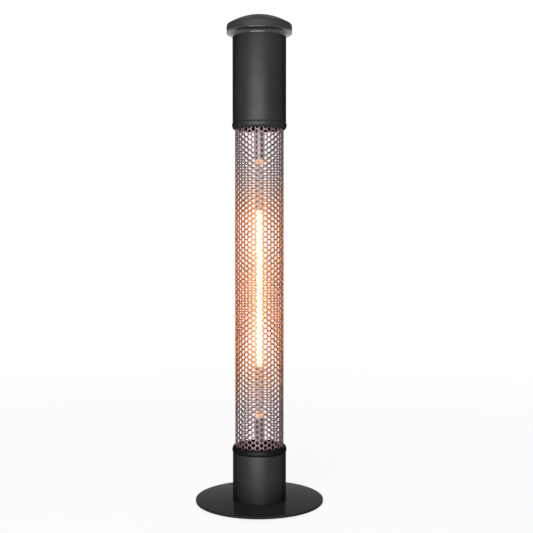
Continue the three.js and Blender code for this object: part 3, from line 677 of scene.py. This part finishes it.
# Clear of the inside of the sheet, which is thicker in the solids than here.
GROOVE_INNER_R = CAGE_R - 2 * MM
FLANGE_WIDTH = 9 * MM
BEAD_LEVEL = 4 * MM
DECK_BORE_R = 7.3 * MM
DECK_LEVELS = 1 * MM, 3 * MM
DECK_SCREW_HOLE = -6 * MM, 9 * MM
CONDUIT_HOLE_R = 3.3 * MM


def collar_outline():
    """Collar standing on a housing edge at height 0, rim upwards."""
    spigot = HOUSING_R - WALL - FIT
    groove = spigot - GROOVE_WALL
    flange = GROOVE_INNER_R - FLANGE_WIDTH
    rim = LOWER_RIM - LOWER_TOP
    return [
        (flange, -SPIGOT_LENGTH), (spigot, -SPIGOT_LENGTH), (spigot, 0), (HOUSING_R - 0.5 * MM, 0),
        *reversed(arc(BEAD_R, BEAD_LEVEL, HOUSING_R - 0.3 * MM, 0.3 * MM, 5)),
        *arc(BEAD_R, BEAD_LEVEL, groove + 0.4 * MM, rim, 12)[1:],
        (groove, rim - 0.5 * MM), (groove, -GROOVE_DEPTH), (GROOVE_INNER_R, -GROOVE_DEPTH),
        (GROOVE_INNER_R, DECK_LEVELS[0]), (flange, DECK_LEVELS[0]),
    ]


def collars_and_decks():
    """Both ends are built upright at height 0, and the upper one is hung upside down."""
    low, top = DECK_LEVELS
    for end, level, upright in (("lower", LOWER_TOP, True), ("upper", UPPER_LOW, False)):
        conduit = middle("return_conduit", 0) * (1 if upright else -1)
        screws = abs(middle(f"{end}_deck_screw_1", 1))

        # The lower collar takes the darker copy of the coat, as painted shade; the upper one takes
        # the plain coat.
        collar = lathe(f"{end}_collar_ring", collar_outline(),
                       black_paint_painted_shade if upright else black_paint, 160)
        cut(collar, shift(through(CONDUIT_HOLE_R, 24), conduit),
            *[around(drill(SCREW_HOLE_R, *DECK_SCREW_HOLE), screws, angle) for angle in (-90, 90)])
        finish(stand(collar, level, upright), "black_paint", f"{end}_collar")

        # The decks take the darker copy of the coat, as painted shade.
        deck = lathe(f"{end}_deck_plate", rounded([
            (DECK_BORE_R, low), (DECK_R, low, 0.3 * MM), (DECK_R, top, 0.5 * MM),
            (DECK_BORE_R, top),
        ]), black_paint_painted_shade, 128)
        cut(deck, shift(through(CONDUIT_HOLE_R, 24), conduit))
        finish(stand(deck, level, upright), "black_paint", f"{end}_deck")

        for i in (1, 2):
            node = f"{end}_deck_screw_{i}"
            screw = pan_screw(node + "_detail", DECK_HEAD_R, DECK_HEAD_HEIGHT)
            shift(screw, y=middle(node, 1), z=top)
            finish(stand(screw, level, upright), "zinc", node)


# ---------------------------------------------------------------- cage

HOLE_COLUMNS = 38
HOLE_PITCH = 10.8 * MM
HOLE_HALF_WIDTH = 4.2 * MM
HOLE_HALF_HEIGHT = 4.35 * MM
PLAIN_BANDS = 22 * MM
CAGE_SHEET = 1.1 * MM
# A tile's border round its hole, in sixths of a column and quarters of the pitch, anticlockwise.
TILE = [(4, 0), (3, 1), (2, 2), (0, 2), (-2, 2), (-3, 1),
        (-4, 0), (-3, -1), (-2, -2), (0, -2), (2, -2), (3, -1)]


def sides_of(loop):
    """Each side of a closed loop, as the pair of its corners."""
    return list(zip(loop, loop[1:] + loop[:1]))


def cage_tiles(places, faces):
    """Adds tiles with staggered oval holes to an unrolled sheet, whose places are (turn, height).

    Returns the loops of the holes, and the border places that neighbouring tiles share.
    """
    rows = int((CAGE_TOP - CAGE_LOW - PLAIN_BANDS) / HOLE_PITCH)
    first = (CAGE_TOP + CAGE_LOW - (rows - 0.5) * HOLE_PITCH) / 2
    turn, rise = 2 * math.pi / HOLE_COLUMNS / 6, HOLE_PITCH / 4
    holes, border = [], {}
    for column in range(HOLE_COLUMNS):
        for row in range(rows):
            u, v = 6 * column, 4 * row + (2 if column % 2 else 0)
            outer, inner = [], []
            for du, dv in TILE:
                key = ((u + du) % (6 * HOLE_COLUMNS), v + dv)
                if key not in border:
                    border[key] = len(places)
                    places.append((key[0] * turn, first + key[1] * rise))
                outer.append(border[key])
            for du, dv in TILE:
                reach = math.hypot(du * turn * CAGE_R / HOLE_HALF_WIDTH,
                                   dv * rise / HOLE_HALF_HEIGHT)
                inner.append(len(places))
                places.append(((u + du / reach) * turn, first + (v + dv / reach) * rise))
            for (a, b), (c, d) in zip(sides_of(outer), sides_of(inner)):
                faces.append([a, b, d, c])
            holes.append(inner)
    return holes, set(border.values())


def cage_ends(places, faces, border):
    """Runs the pattern's zigzag ends on to the sheet's straight ends, and returns their edges."""
    used = dict.fromkeys(side for face in faces for side in sides_of(face))
    open_sides = [(a, b) for a, b in used if (b, a) not in used and a in border and b in border]
    ends = {}
    for corner in dict.fromkeys(corner for side in open_sides for corner in side):
        turn, height = places[corner]
        ends[corner] = len(places)
        places.append((turn, CAGE_LOW if height < (CAGE_LOW + CAGE_TOP) / 2 else CAGE_TOP))
    faces += [[b, a, ends[a], ends[b]] for a, b in open_sides]
    return [(ends[a], ends[b]) for a, b in open_sides]


def cage():
    """Rolled sheet with staggered oval holes, punched up to plain bands inside the collars."""
    places, faces = [], []
    holes, border = cage_tiles(places, faces)
    edges = cage_ends(places, faces, border)
    edges += [side for hole in holes for side in sides_of(hole)]
    count = len(places)
    vertices = [(radius * math.cos(turn), radius * math.sin(turn), height)
                for radius in (CAGE_R, CAGE_R - CAGE_SHEET) for turn, height in places]
    inside = [[corner + count for corner in reversed(face)] for face in faces]
    walls = [[a, b, b + count, a + count] for a, b in edges]
    piece = make("cage_perforated", vertices, faces + inside + walls, mesh_steel, angle=40)
    finish(piece, "mesh_steel", "cage")


# ---------------------------------------------------------------- lamp

LAMP_ENDS = (
    ("lower", DECK_TOP, LOWER_MOUTH, True),
    ("upper", UP_DECK_LOW, UPPER_MOUTH, False),
)
SLEEVE_WALL = 0.8 * MM
HOLDER_FLOOR = 1.5 * MM
HOLDER_NECK_R, HOLDER_NECK = 7 * MM, 9 * MM
HOLDER_BORE_R = 4.5 * MM
CERAMIC_HEAD = 8 * MM
CERAMIC_LENGTH = 28 * MM
CERAMIC_FLOOR = 18 * MM
CERAMIC_PLAY = 1.1 * MM
CERAMIC_GROOVE = 0.5 * MM
QUARTZ_HOLE_R = 5.3 * MM
LEAD_HOLE_R = 1.8 * MM


def lamp_holders():
    """Sleeves that stand on the decks, with a neck down through each deck."""
    inside = SLEEVE_R - SLEEVE_WALL
    for end, deck, mouth, upright in LAMP_ENDS:
        node = f"{end}_lamp_holder"
        height = abs(mouth - deck)
        # The point below the rim keeps the rim's soft shading off the rest of the sleeve.
        holder = lathe(node + "_sleeve", rounded([
            (HOLDER_BORE_R, -HOLDER_NECK), (HOLDER_NECK_R, -HOLDER_NECK, 0.5 * MM),
            (HOLDER_NECK_R, 0), (HOLDER_R, 0), (HOLDER_R, HOLDER_FLOOR, 0.5 * MM),
            (SLEEVE_R, HOLDER_FLOOR), (SLEEVE_R, height - 6 * MM), (SLEEVE_R, height, 0.3 * MM),
            (inside, height), (inside, HOLDER_FLOOR), (HOLDER_BORE_R, HOLDER_FLOOR),
        ]), bright_steel, 64)
        finish(stand(holder, deck, upright), "bright_steel", node)


def lamp_caps():
    """Ceramic caps that sit in the sleeves, with a grooved head outside each mouth."""
    body, groove = SLEEVE_R - CERAMIC_PLAY, SLEEVE_R - CERAMIC_GROOVE
    outline = rounded([
        (LEAD_HOLE_R, -CERAMIC_LENGTH), (body, -CERAMIC_LENGTH, 0.6 * MM), (body, 0),
        (SLEEVE_R, 0, 0.3 * MM), (SLEEVE_R, CERAMIC_HEAD * 0.35), (groove, CERAMIC_HEAD * 0.45),
        (groove, CERAMIC_HEAD * 0.6), (SLEEVE_R, CERAMIC_HEAD * 0.7),
        (SLEEVE_R, CERAMIC_HEAD, 1.2 * MM), (QUARTZ_HOLE_R, CERAMIC_HEAD, 0.5 * MM),
        (QUARTZ_HOLE_R, -CERAMIC_FLOOR), (LEAD_HOLE_R, -CERAMIC_FLOOR),
    ])
    for end, _, mouth, upright in LAMP_ENDS:
        # The caps carry the painted glow of the element.
        cap = lathe(f"{end}_lamp_cap_ceramic", outline, glow_painted_steatite, 64)
        finish(stand(cap, mouth, upright), "ceramic", f"{end}_lamp_cap")


QUARTZ_WALL = 1.2 * MM
NECK_R = 5 * MM
LEAD_CHANNEL_R = 1.3 * MM
NECK_SHOW = 6 * MM
SHOULDER = 7 * MM
INNER_SHOULDER = 8.2 * MM


def quartz_tube():
    """Clear tube, drawn in to a narrower neck at each cap."""
    low, top = LOW_CAP_TOP + NECK_SHOW, UP_CAP_LOW - NECK_SHOW
    bore = QUARTZ_R - QUARTZ_WALL
    tube = lathe("quartz_tube_clear", rounded([
        (LEAD_CHANNEL_R, LAMP_LOW), (NECK_R, LAMP_LOW, 0.4 * MM), (NECK_R, low, 3 * MM),
        (QUARTZ_R, low + SHOULDER, 4 * MM), (QUARTZ_R, top - SHOULDER, 4 * MM),
        (NECK_R, top, 3 * MM), (NECK_R, LAMP_TOP, 0.4 * MM), (LEAD_CHANNEL_R, LAMP_TOP),
        (LEAD_CHANNEL_R, top), (bore, top - INNER_SHOULDER, 3 * MM),
        (bore, low + INNER_SHOULDER, 3 * MM), (LEAD_CHANNEL_R, low),
    ], 6), quartz_glass, 64, angle=60)
    finish(tube, "quartz", "quartz_tube")


SPIRAL_R = 3.8 * MM
SPIRAL_PITCH = 7.2 * MM
SPIRAL_BAND = 6.0 * MM
SPIRAL_THICK = 0.9 * MM
SPIRAL_STEPS = 20


def heating_element():
    """Carbon strip wound in a spiral on the axis."""
    turns = (ELEMENT_TOP - ELEMENT_LOW - SPIRAL_BAND) / SPIRAL_PITCH
    steps = int(turns * SPIRAL_STEPS)
    inner = SPIRAL_R - SPIRAL_THICK
    vertices = []
    for i in range(steps + 1):
        turn = i / steps * turns * 2 * math.pi
        centre = ELEMENT_LOW + SPIRAL_BAND / 2 + i / steps * turns * SPIRAL_PITCH
        for radius, rise in ((SPIRAL_R, -1), (SPIRAL_R, 1), (inner, 1), (inner, -1)):
            vertices.append((radius * math.cos(turn), radius * math.sin(turn),
                             centre + rise * SPIRAL_BAND / 2))
    spiral = make("element_spiral", vertices, ring_faces(steps + 1, 4), glowing_carbon)
    finish(spiral, "glow", "heating_element")


LEAD_R = 0.7 * MM
LEAD_COIL_R = 3.2 * MM
LEAD_COIL_LENGTH = 10 * MM
LEAD_COIL_TURNS = 4
LEAD_COIL_STEPS = 48
LEAD_STRAIGHT_STEPS = 8


def lead_path(start, end):
    """Along the axis from the start, then in a coil that widens and takes the spiral's end."""
    sign = 1 if end > start else -1
    straight = abs(end - start) - LEAD_COIL_LENGTH
    path = [Vector((0, 0, start + sign * straight * i / LEAD_STRAIGHT_STEPS))
            for i in range(LEAD_STRAIGHT_STEPS)]
    for i in range(LEAD_COIL_STEPS + 1):
        share = i / LEAD_COIL_STEPS
        radius = LEAD_COIL_R * min(1, share * LEAD_COIL_TURNS)
        turn = share * LEAD_COIL_TURNS * 2 * math.pi
        path.append(Vector((radius * math.cos(turn), radius * math.sin(turn),
                            start + sign * (straight + LEAD_COIL_LENGTH * share))))
    return path


def tube(name, path, radius, material, sides):
    """Round tube along a path of points, closed at both ends."""
    vertices = []
    guide = Vector((1, 0, 0))
    for i, point in enumerate(path):
        ahead = (path[min(i + 1, len(path) - 1)] - path[max(i - 1, 0)]).normalized()
        guide = (guide - ahead * guide.dot(ahead)).normalized()
        other = ahead.cross(guide)
        vertices += [tuple(point + guide * x + other * y) for x, y in polygon(radius, sides)]
    return make(name, vertices, ring_faces(len(path), sides), material, angle=50)


def element_leads():
    for end, start, stop in (("lower", LAMP_LOW, ELEMENT_LOW), ("upper", LAMP_TOP, ELEMENT_TOP)):
        path = lead_path(start, stop)
        finish(tube(f"element_lead_{end}", path, LEAD_R, glowing_carbon, 10), "glow")


# ---------------------------------------------------------------- cap

CAP_WALL = 2 * MM
RING_FLOOR_WIDTH = 7 * MM
COVE_FOOT = HOUSING_R + 0.2 * MM, UPPER_TOP
COVE_HEAD = CAP_R - 2.4 * MM, UPPER_TOP + 7.4 * MM
RIM_EDGE = UPPER_TOP + 8.2 * MM
RIM_LOW = UPPER_TOP + 11 * MM
RIM_TOP = RIM_LOW + 12 * MM
RIM_FILLET = 0.25 * MM
SKIRT_R = CAP_R - CAP_WALL
DOME_EDGE_R = CAP_R - 1 * MM
DOME_RISE = 20 * MM
DOME_ROUNDING, INNER_ROUNDING = 2.2 * MM, 2.5 * MM
STUD_R, STUD_CORE_R = 3 * MM, 2.4 * MM


def cap_ring():
    """Ring that plugs into the upper housing and flares out to the rim in a cove."""
    bore = HOUSING_R - WALL - FIT
    inner = bore - CAP_WALL
    opening = inner - RING_FLOOR_WIDTH
    ring = lathe("cap_ring_flare", rounded([
        (opening, RING_LOW), (bore, RING_LOW, 0.5 * MM), (bore, UPPER_TOP),
        *arc(*COVE_FOOT, *COVE_HEAD, 8), (CAP_R, RIM_EDGE, 0.4 * MM), (CAP_R, RIM_LOW, RIM_FILLET),
        (SKIRT_R - FIT, RIM_LOW), (inner, UPPER_TOP), (inner, RING_LOW + CAP_WALL),
        (opening, RING_LOW + CAP_WALL),
    ], 6), black_ring, 160)
    cut(ring, *side_holes("cap"))
    finish(ring, "black_paint", "cap_ring")


def cap_dome():
    """Low spherical dome with a rounded shoulder and a skirt down to the ring."""
    sphere = (DOME_EDGE_R ** 2 + DOME_RISE ** 2) / (2 * DOME_RISE)

    def crown(radius, reach, steps):
        limit = math.asin(reach / radius)
        turns = [k / steps * limit for k in range(steps + 1)]
        return [(radius * math.sin(turn), CAP_TOP - sphere + radius * math.cos(turn))
                for turn in turns]

    shoulder = DOME_EDGE_R - DOME_ROUNDING
    outer = crown(sphere, shoulder, 18)
    inside = crown(sphere - CAP_WALL, SKIRT_R - INNER_ROUNDING, 12)
    dome = lathe("cap_dome_shell", [
        *outer, *arc(CAP_R, RIM_TOP - CAP_WALL, shoulder, outer[-1][1], 7)[-2::-1],
        (CAP_R, RIM_LOW + RIM_FILLET), (CAP_R - RIM_FILLET, RIM_LOW), (SKIRT_R, RIM_LOW),
        (SKIRT_R, RIM_TOP - CAP_WALL), *reversed(inside),
    ], black_cap_paint, 160)
    finish(dome, "black_paint", "cap_dome")


def cap_stud():
    top = CAP_TOP - 3 * MM
    stud = lathe("cap_stud", rounded([
        (0, DOME_LOW), (STUD_CORE_R, DOME_LOW), (STUD_R, DOME_LOW + 0.8 * MM), (STUD_R, top),
        (0, top),
    ]), zinc_steel, 32)
    finish(stud, "zinc")


# ---------------------------------------------------------------- switch

BEZEL = 2 * MM
WELL_HALF_WIDTH, WELL_HALF_HEIGHT = 7.5 * MM, 11 * MM
SHELL_HALF_WIDTH, SHELL_HALF_HEIGHT = 9.5 * MM, 13 * MM
TAB_SPACING = 8 * MM
TAB_LENGTH, TAB_GAP = 7 * MM, 0.01 * MM
TAB_HALF_WIDTH, TAB_HALF_THICK = 3 * MM, 0.4 * MM
ROCKER_HALF_LENGTH = 10 * MM
ROCKER_HALF_WIDTH = 7.2 * MM
ROCKER_TILT = 9
ROCKER_FACE = 5.2 * MM
ROCKER_BACK = -4 * MM
ROCKER_DIP = 1.6 * MM
ROCKER_CURVE = 1.4
ROCKER_STEPS = 8
MARK_LEVEL = 5.5 * MM
MARK_LEAN = 10
MARK_HALF_DEPTH = 0.3 * MM


def switch():
    """Bezel and shell with a common well, two brass tabs behind, and the rocker in the well."""
    low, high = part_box("switch_body")
    centre, face = middle("switch_body", 2), high[1]
    seat = face - BEZEL

    def centred(half_width, back, front, half_height):
        return (-half_width, back, centre - half_height), (half_width, front, centre + half_height)

    bezel = rounded_box("switch_bezel", (low[0], seat, low[2]), high, 0.9 * MM, black_nylon)
    shell = block("switch_shell", *centred(SHELL_HALF_WIDTH, low[1], seat + 0.5 * MM,
                                           SHELL_HALF_HEIGHT), black_nylon)
    for piece, nodes in ((bezel, ["switch_body"]), (shell, [])):
        cut(piece, block("well", *centred(WELL_HALF_WIDTH, seat - 10 * MM, face + 5 * MM,
                                          WELL_HALF_HEIGHT)))
        finish(piece, "black_plastic", *nodes)
    for i, x in enumerate((-TAB_SPACING / 2, TAB_SPACING / 2)):
        corners = centred(TAB_HALF_THICK, low[1] - TAB_LENGTH, low[1] - TAB_GAP, TAB_HALF_WIDTH)
        tab = rounded_box(f"switch_tab_{i + 1}", *corners, 0.1 * MM, plain_brass, 1)
        finish(shift(tab, x), "brass")

    tip = Matrix.Translation((0, seat, centre)) @ lean(ROCKER_TILT)
    finish(place(rocker(), tip), "black_plastic", "switch_rocker", body="rocker")
    rocker_marks(tip)


def rocker_face(up):
    """How far the rocker's dished face stands out at a height from its middle."""
    share = abs(up) / ROCKER_HALF_LENGTH
    return ROCKER_FACE - ROCKER_DIP * (1 - share ** ROCKER_CURVE)


def rocker():
    """Rocker with two dished flats, before it is tipped: +Y is out of its face, +Z is up."""
    side = [(ROCKER_BACK, -ROCKER_HALF_LENGTH), (ROCKER_BACK, ROCKER_HALF_LENGTH)]
    for k in range(-ROCKER_STEPS, ROCKER_STEPS + 1):
        up = -k / ROCKER_STEPS * ROCKER_HALF_LENGTH
        side.append((rocker_face(up), up))
    vertices = [(x, out, up) for x in (-ROCKER_HALF_WIDTH, ROCKER_HALF_WIDTH) for out, up in side]
    key = make("rocker_key", vertices, ring_faces(2, len(side)), black_nylon)
    return bevel(key, 0.5 * MM, angle=40)


def rocker_marks(tip):
    """Raised bar for on and raised ring for off, each on its flat of the rocker."""
    deep = MARK_HALF_DEPTH
    bar = rounded_box("rocker_mark_on", (-0.5 * MM, -deep, -2 * MM), (0.5 * MM, deep, 2 * MM),
                      0.15 * MM, black_nylon, 2)
    ring = lathe("rocker_mark_off", rounded([
        (1.3 * MM, -deep), (2.1 * MM, -deep), (2.1 * MM, deep, 0.15 * MM),
        (1.3 * MM, deep, 0.15 * MM),
    ], 2), black_nylon, 40)
    place(ring, lean(-90))
    for piece, up, angle in ((bar, MARK_LEVEL, -MARK_LEAN), (ring, -MARK_LEVEL, MARK_LEAN)):
        place(piece, tip @ Matrix.Translation((0, rocker_face(up), up)) @ lean(angle))
        finish(piece, "black_plastic", body="rocker")


# ---------------------------------------------------------------- gland

CORD_HOLE_R = 3.6 * MM
THREAD_R = 6 * MM
THREAD_PITCH = 1.5 * MM
THREAD_DEPTH = 0.4 * MM
HEX_R = 9 * MM
HEX_HEIGHT = 4 * MM
NUT_R = 7.5 * MM
NUT_LOW, NUT_TOP = 4.3 * MM, 10 * MM
NUT_FLUTE = 0.35 * MM
NUT_SIDES = 72
NOSE_R = 7.2 * MM
NOSE_TOP = 14.3 * MM


def gland():
    """Cord gland, built on +Z with height 0 on its flat of the housing."""
    for piece, slot, *nodes in (*gland_body(), *gland_dome_nut(), gland_lock_nut()):
        finish(place(piece, outwards(0, FLAT_SEAT, GLAND_LEVEL)), slot, *nodes)


def gland_body():
    hexagon = bevel(prism("gland_hex", polygon(HEX_R, 6), 0, HEX_HEIGHT, black_nylon), 0.5 * MM, 2)
    cut(hexagon, through(CORD_HOLE_R))
    thread = lathe("gland_thread", thread_outline(-7.3 * MM, 8 * MM), black_nylon, 48)
    return (hexagon, "black_plastic", "gland_body"), (thread, "black_plastic")


def gland_dome_nut():
    """Fluted skirt, rounded nose, and the rubber seal that shows inside it."""
    dip = 1 - NUT_FLUTE / NUT_R
    ring = [(x * dip, y * dip) if i % 3 == 0 else (x, y)
            for i, (x, y) in enumerate(polygon(NUT_R, NUT_SIDES))]
    skirt = prism("gland_dome_skirt", ring, NUT_LOW, NUT_TOP, black_nylon, angle=20)
    cut(skirt, drill(THREAD_HOLE_R, 3 * MM, 8.3 * MM, 48), through(CORD_HOLE_R))
    nose = lathe("gland_dome_nose", rounded([
        (CORD_HOLE_R, NUT_TOP), (NOSE_R, NUT_TOP), (NOSE_R, NUT_TOP + 1 * MM, 1.5 * MM),
        (5.25 * MM, NOSE_TOP, 0.6 * MM), (4.3 * MM, NOSE_TOP), (CORD_HOLE_R, 13 * MM),
    ]), black_nylon, 64)
    inner, outer = 2.2 * MM, CORD_HOLE_R - 0.05 * MM
    seal = lathe("gland_seal", rounded([
        (inner, 9 * MM), (outer, 9 * MM), (outer, 13.2 * MM, 0.4 * MM),
        (inner, 12.6 * MM, 0.4 * MM),
    ]), black_rubber, 40)
    return (skirt, "black_plastic", "gland_dome_nut"), (nose, "black_plastic"), (seal, "rubber")


def gland_lock_nut():
    low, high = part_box("gland_lock_nut")
    nut = prism("gland_nut_inside", polygon(HEX_R, 6), low[1] - FLAT_SEAT, high[1] - FLAT_SEAT,
                black_nylon)
    bevel(nut, 0.4 * MM, 2)
    return cut(nut, through(THREAD_HOLE_R)), "black_plastic", "gland_lock_nut"


def thread_outline(low, high):
    """Tube whose outside carries rings with a thread's section."""
    root = THREAD_R - THREAD_DEPTH
    outline = [(CORD_HOLE_R, low)]
    for i in range(int((high - low) / THREAD_PITCH)):
        z = low + i * THREAD_PITCH
        outline += [(root, z), (THREAD_R, z + 0.4 * THREAD_PITCH),
                    (THREAD_R, z + 0.6 * THREAD_PITCH)]
    return [*outline, (root, high), (CORD_HOLE_R, high)]


# ---------------------------------------------------------------- nodes kept from the frame

KEPT = {
    "base_ring": zinc_steel, "return_conduit": bright_steel, "terminal_block": steatite,
    "thermal_cutout": steatite, "tilt_bracket": zinc_steel, "tilt_pin": bright_steel,
    "tilt_pendulum": plain_brass, "tilt_microswitch": black_nylon, "cap_bridge": zinc_steel,
    "cap_nut": zinc_steel, "lower_holder_nut": zinc_steel, "upper_holder_nut": zinc_steel,
    "lower_lamp_terminal": plain_brass, "upper_lamp_terminal": plain_brass,
}
KEPT_EDGE = 0.25 * MM


def kept_nodes():
    """Nodes that show little or nothing stay as they are, with a material and softened edges."""
    for node, material in KEPT.items():
        piece = frame["nodes"][node]
        piece.data.materials.clear()
        piece.data.materials.append(material)
        soften(piece, KEPT_EDGE, 2, 40)


# ---------------------------------------------------------------- studio

CAMERA_DISTANCE = 1.855
CAMERA_HEIGHT = 0.545
CAMERA_LENS = 60.8
CAMERA_PITCH = 1.79
CAMERA_YAW = 0.452
WORLD_LEVEL = 0.25
FLOOR_R, FLOOR_LOW = 14.0, -0.02
FLOOR_WHITE = 0.84
FLOOR_FADE = 0.2, 2.2


def camera():
    data = bpy.data.cameras.new("camera")
    data.lens = CAMERA_LENS
    data.sensor_width = 36
    view = bpy.data.objects.new("camera", data)
    view.location = (0, -CAMERA_DISTANCE, CAMERA_HEIGHT)
    view.rotation_euler = (math.radians(90 - CAMERA_PITCH), 0, math.radians(-CAMERA_YAW))
    bpy.context.scene.collection.objects.link(view)
    bpy.context.scene.camera = view


def lamp(name, azimuth, elevation, distance, width, height, power, aim=0.5):
    """Area lamp aimed at a height of the tower; azimuth 0 is the front, positive to the right."""
    data = bpy.data.lights.new(name, "AREA")
    data.shape = "RECTANGLE"
    data.size = width
    data.size_y = height
    data.energy = power
    light = bpy.data.objects.new(name, data)
    turn, rise = math.radians(azimuth), math.radians(elevation)
    target = Vector((0, 0, aim))
    spot = target + distance * Vector((math.sin(turn) * math.cos(rise),
                                       -math.cos(turn) * math.cos(rise), math.sin(rise)))
    light.location = spot
    light.rotation_euler = (target - spot).to_track_quat("-Z", "Y").to_euler()
    bpy.context.scene.collection.objects.link(light)


def world():
    """Soft grey light all round; white to the eye and in metal and glass."""
    sky = bpy.data.worlds.new("studio")
    bpy.context.scene.world = sky
    sky.use_nodes = True
    tree = sky.node_tree
    background = tree.nodes["Background"]
    background.inputs["Color"].default_value = (1, 1, 1, 1)
    level = calculate(tree, "MULTIPLY_ADD", seen(tree), 1 - WORLD_LEVEL, WORLD_LEVEL)
    tree.links.new(level, background.inputs["Strength"])


def floor_paint():
    """White to the eye, wholly far out and nearly so by the tower, where its shadow shows."""
    n = Nodes("floor_white")
    n.set(Base_Color=(0.9, 0.9, 0.9, 1), Roughness=0.9, Specular_IOR_Level=0.0)
    white = n.add("ShaderNodeEmission", Strength=1.0)
    far = n.add("ShaderNodeVectorMath")
    far.operation = "LENGTH"
    n.link(n.coords, far.inputs[0])
    fade = n.step(far.outputs["Value"], *FLOOR_FADE, first=FLOOR_WHITE)
    mix = n.add("ShaderNodeMixShader")
    n.link(calculate(n.tree, "MULTIPLY", seen(n.tree), fade), mix.inputs["Fac"])
    n.link(n.shader.outputs[0], mix.inputs[1])
    n.link(white.outputs[0], mix.inputs[2])
    n.link(mix.outputs[0], n.tree.nodes["Material Output"].inputs["Surface"])
    return n.material


def floor():
    """Pale floor, with the tower's own soft shadow."""
    prism("floor", polygon(FLOOR_R, 96), FLOOR_LOW, 0.0, floor_paint())


def studio():
    scene = bpy.context.scene
    scene.view_settings.view_transform = "Standard"
    scene.cycles.use_denoising = True
    world()
    floor()
    lamp("key", -10, 4, 2.2, 2.4, 1.6, 68)
    lamp("low", -10, 4, 1.3, 1.2, 0.24, 6, 0.1)
    lamp("back", 168, 50, 2.2, 2.0, 1.0, 20, 0.2)
    lamp("top", 0, 75, 2.2, 1.6, 1.6, 8)


camera()
studio()
base_plate()
foot_pads()
lower_housing()
upper_housing()
collars_and_decks()
cage()
lamp_holders()
lamp_caps()
quartz_tube()
heating_element()
element_leads()
cap_ring()
cap_dome()
cap_stud()
switch()
gland()
side_screws()
kept_nodes()
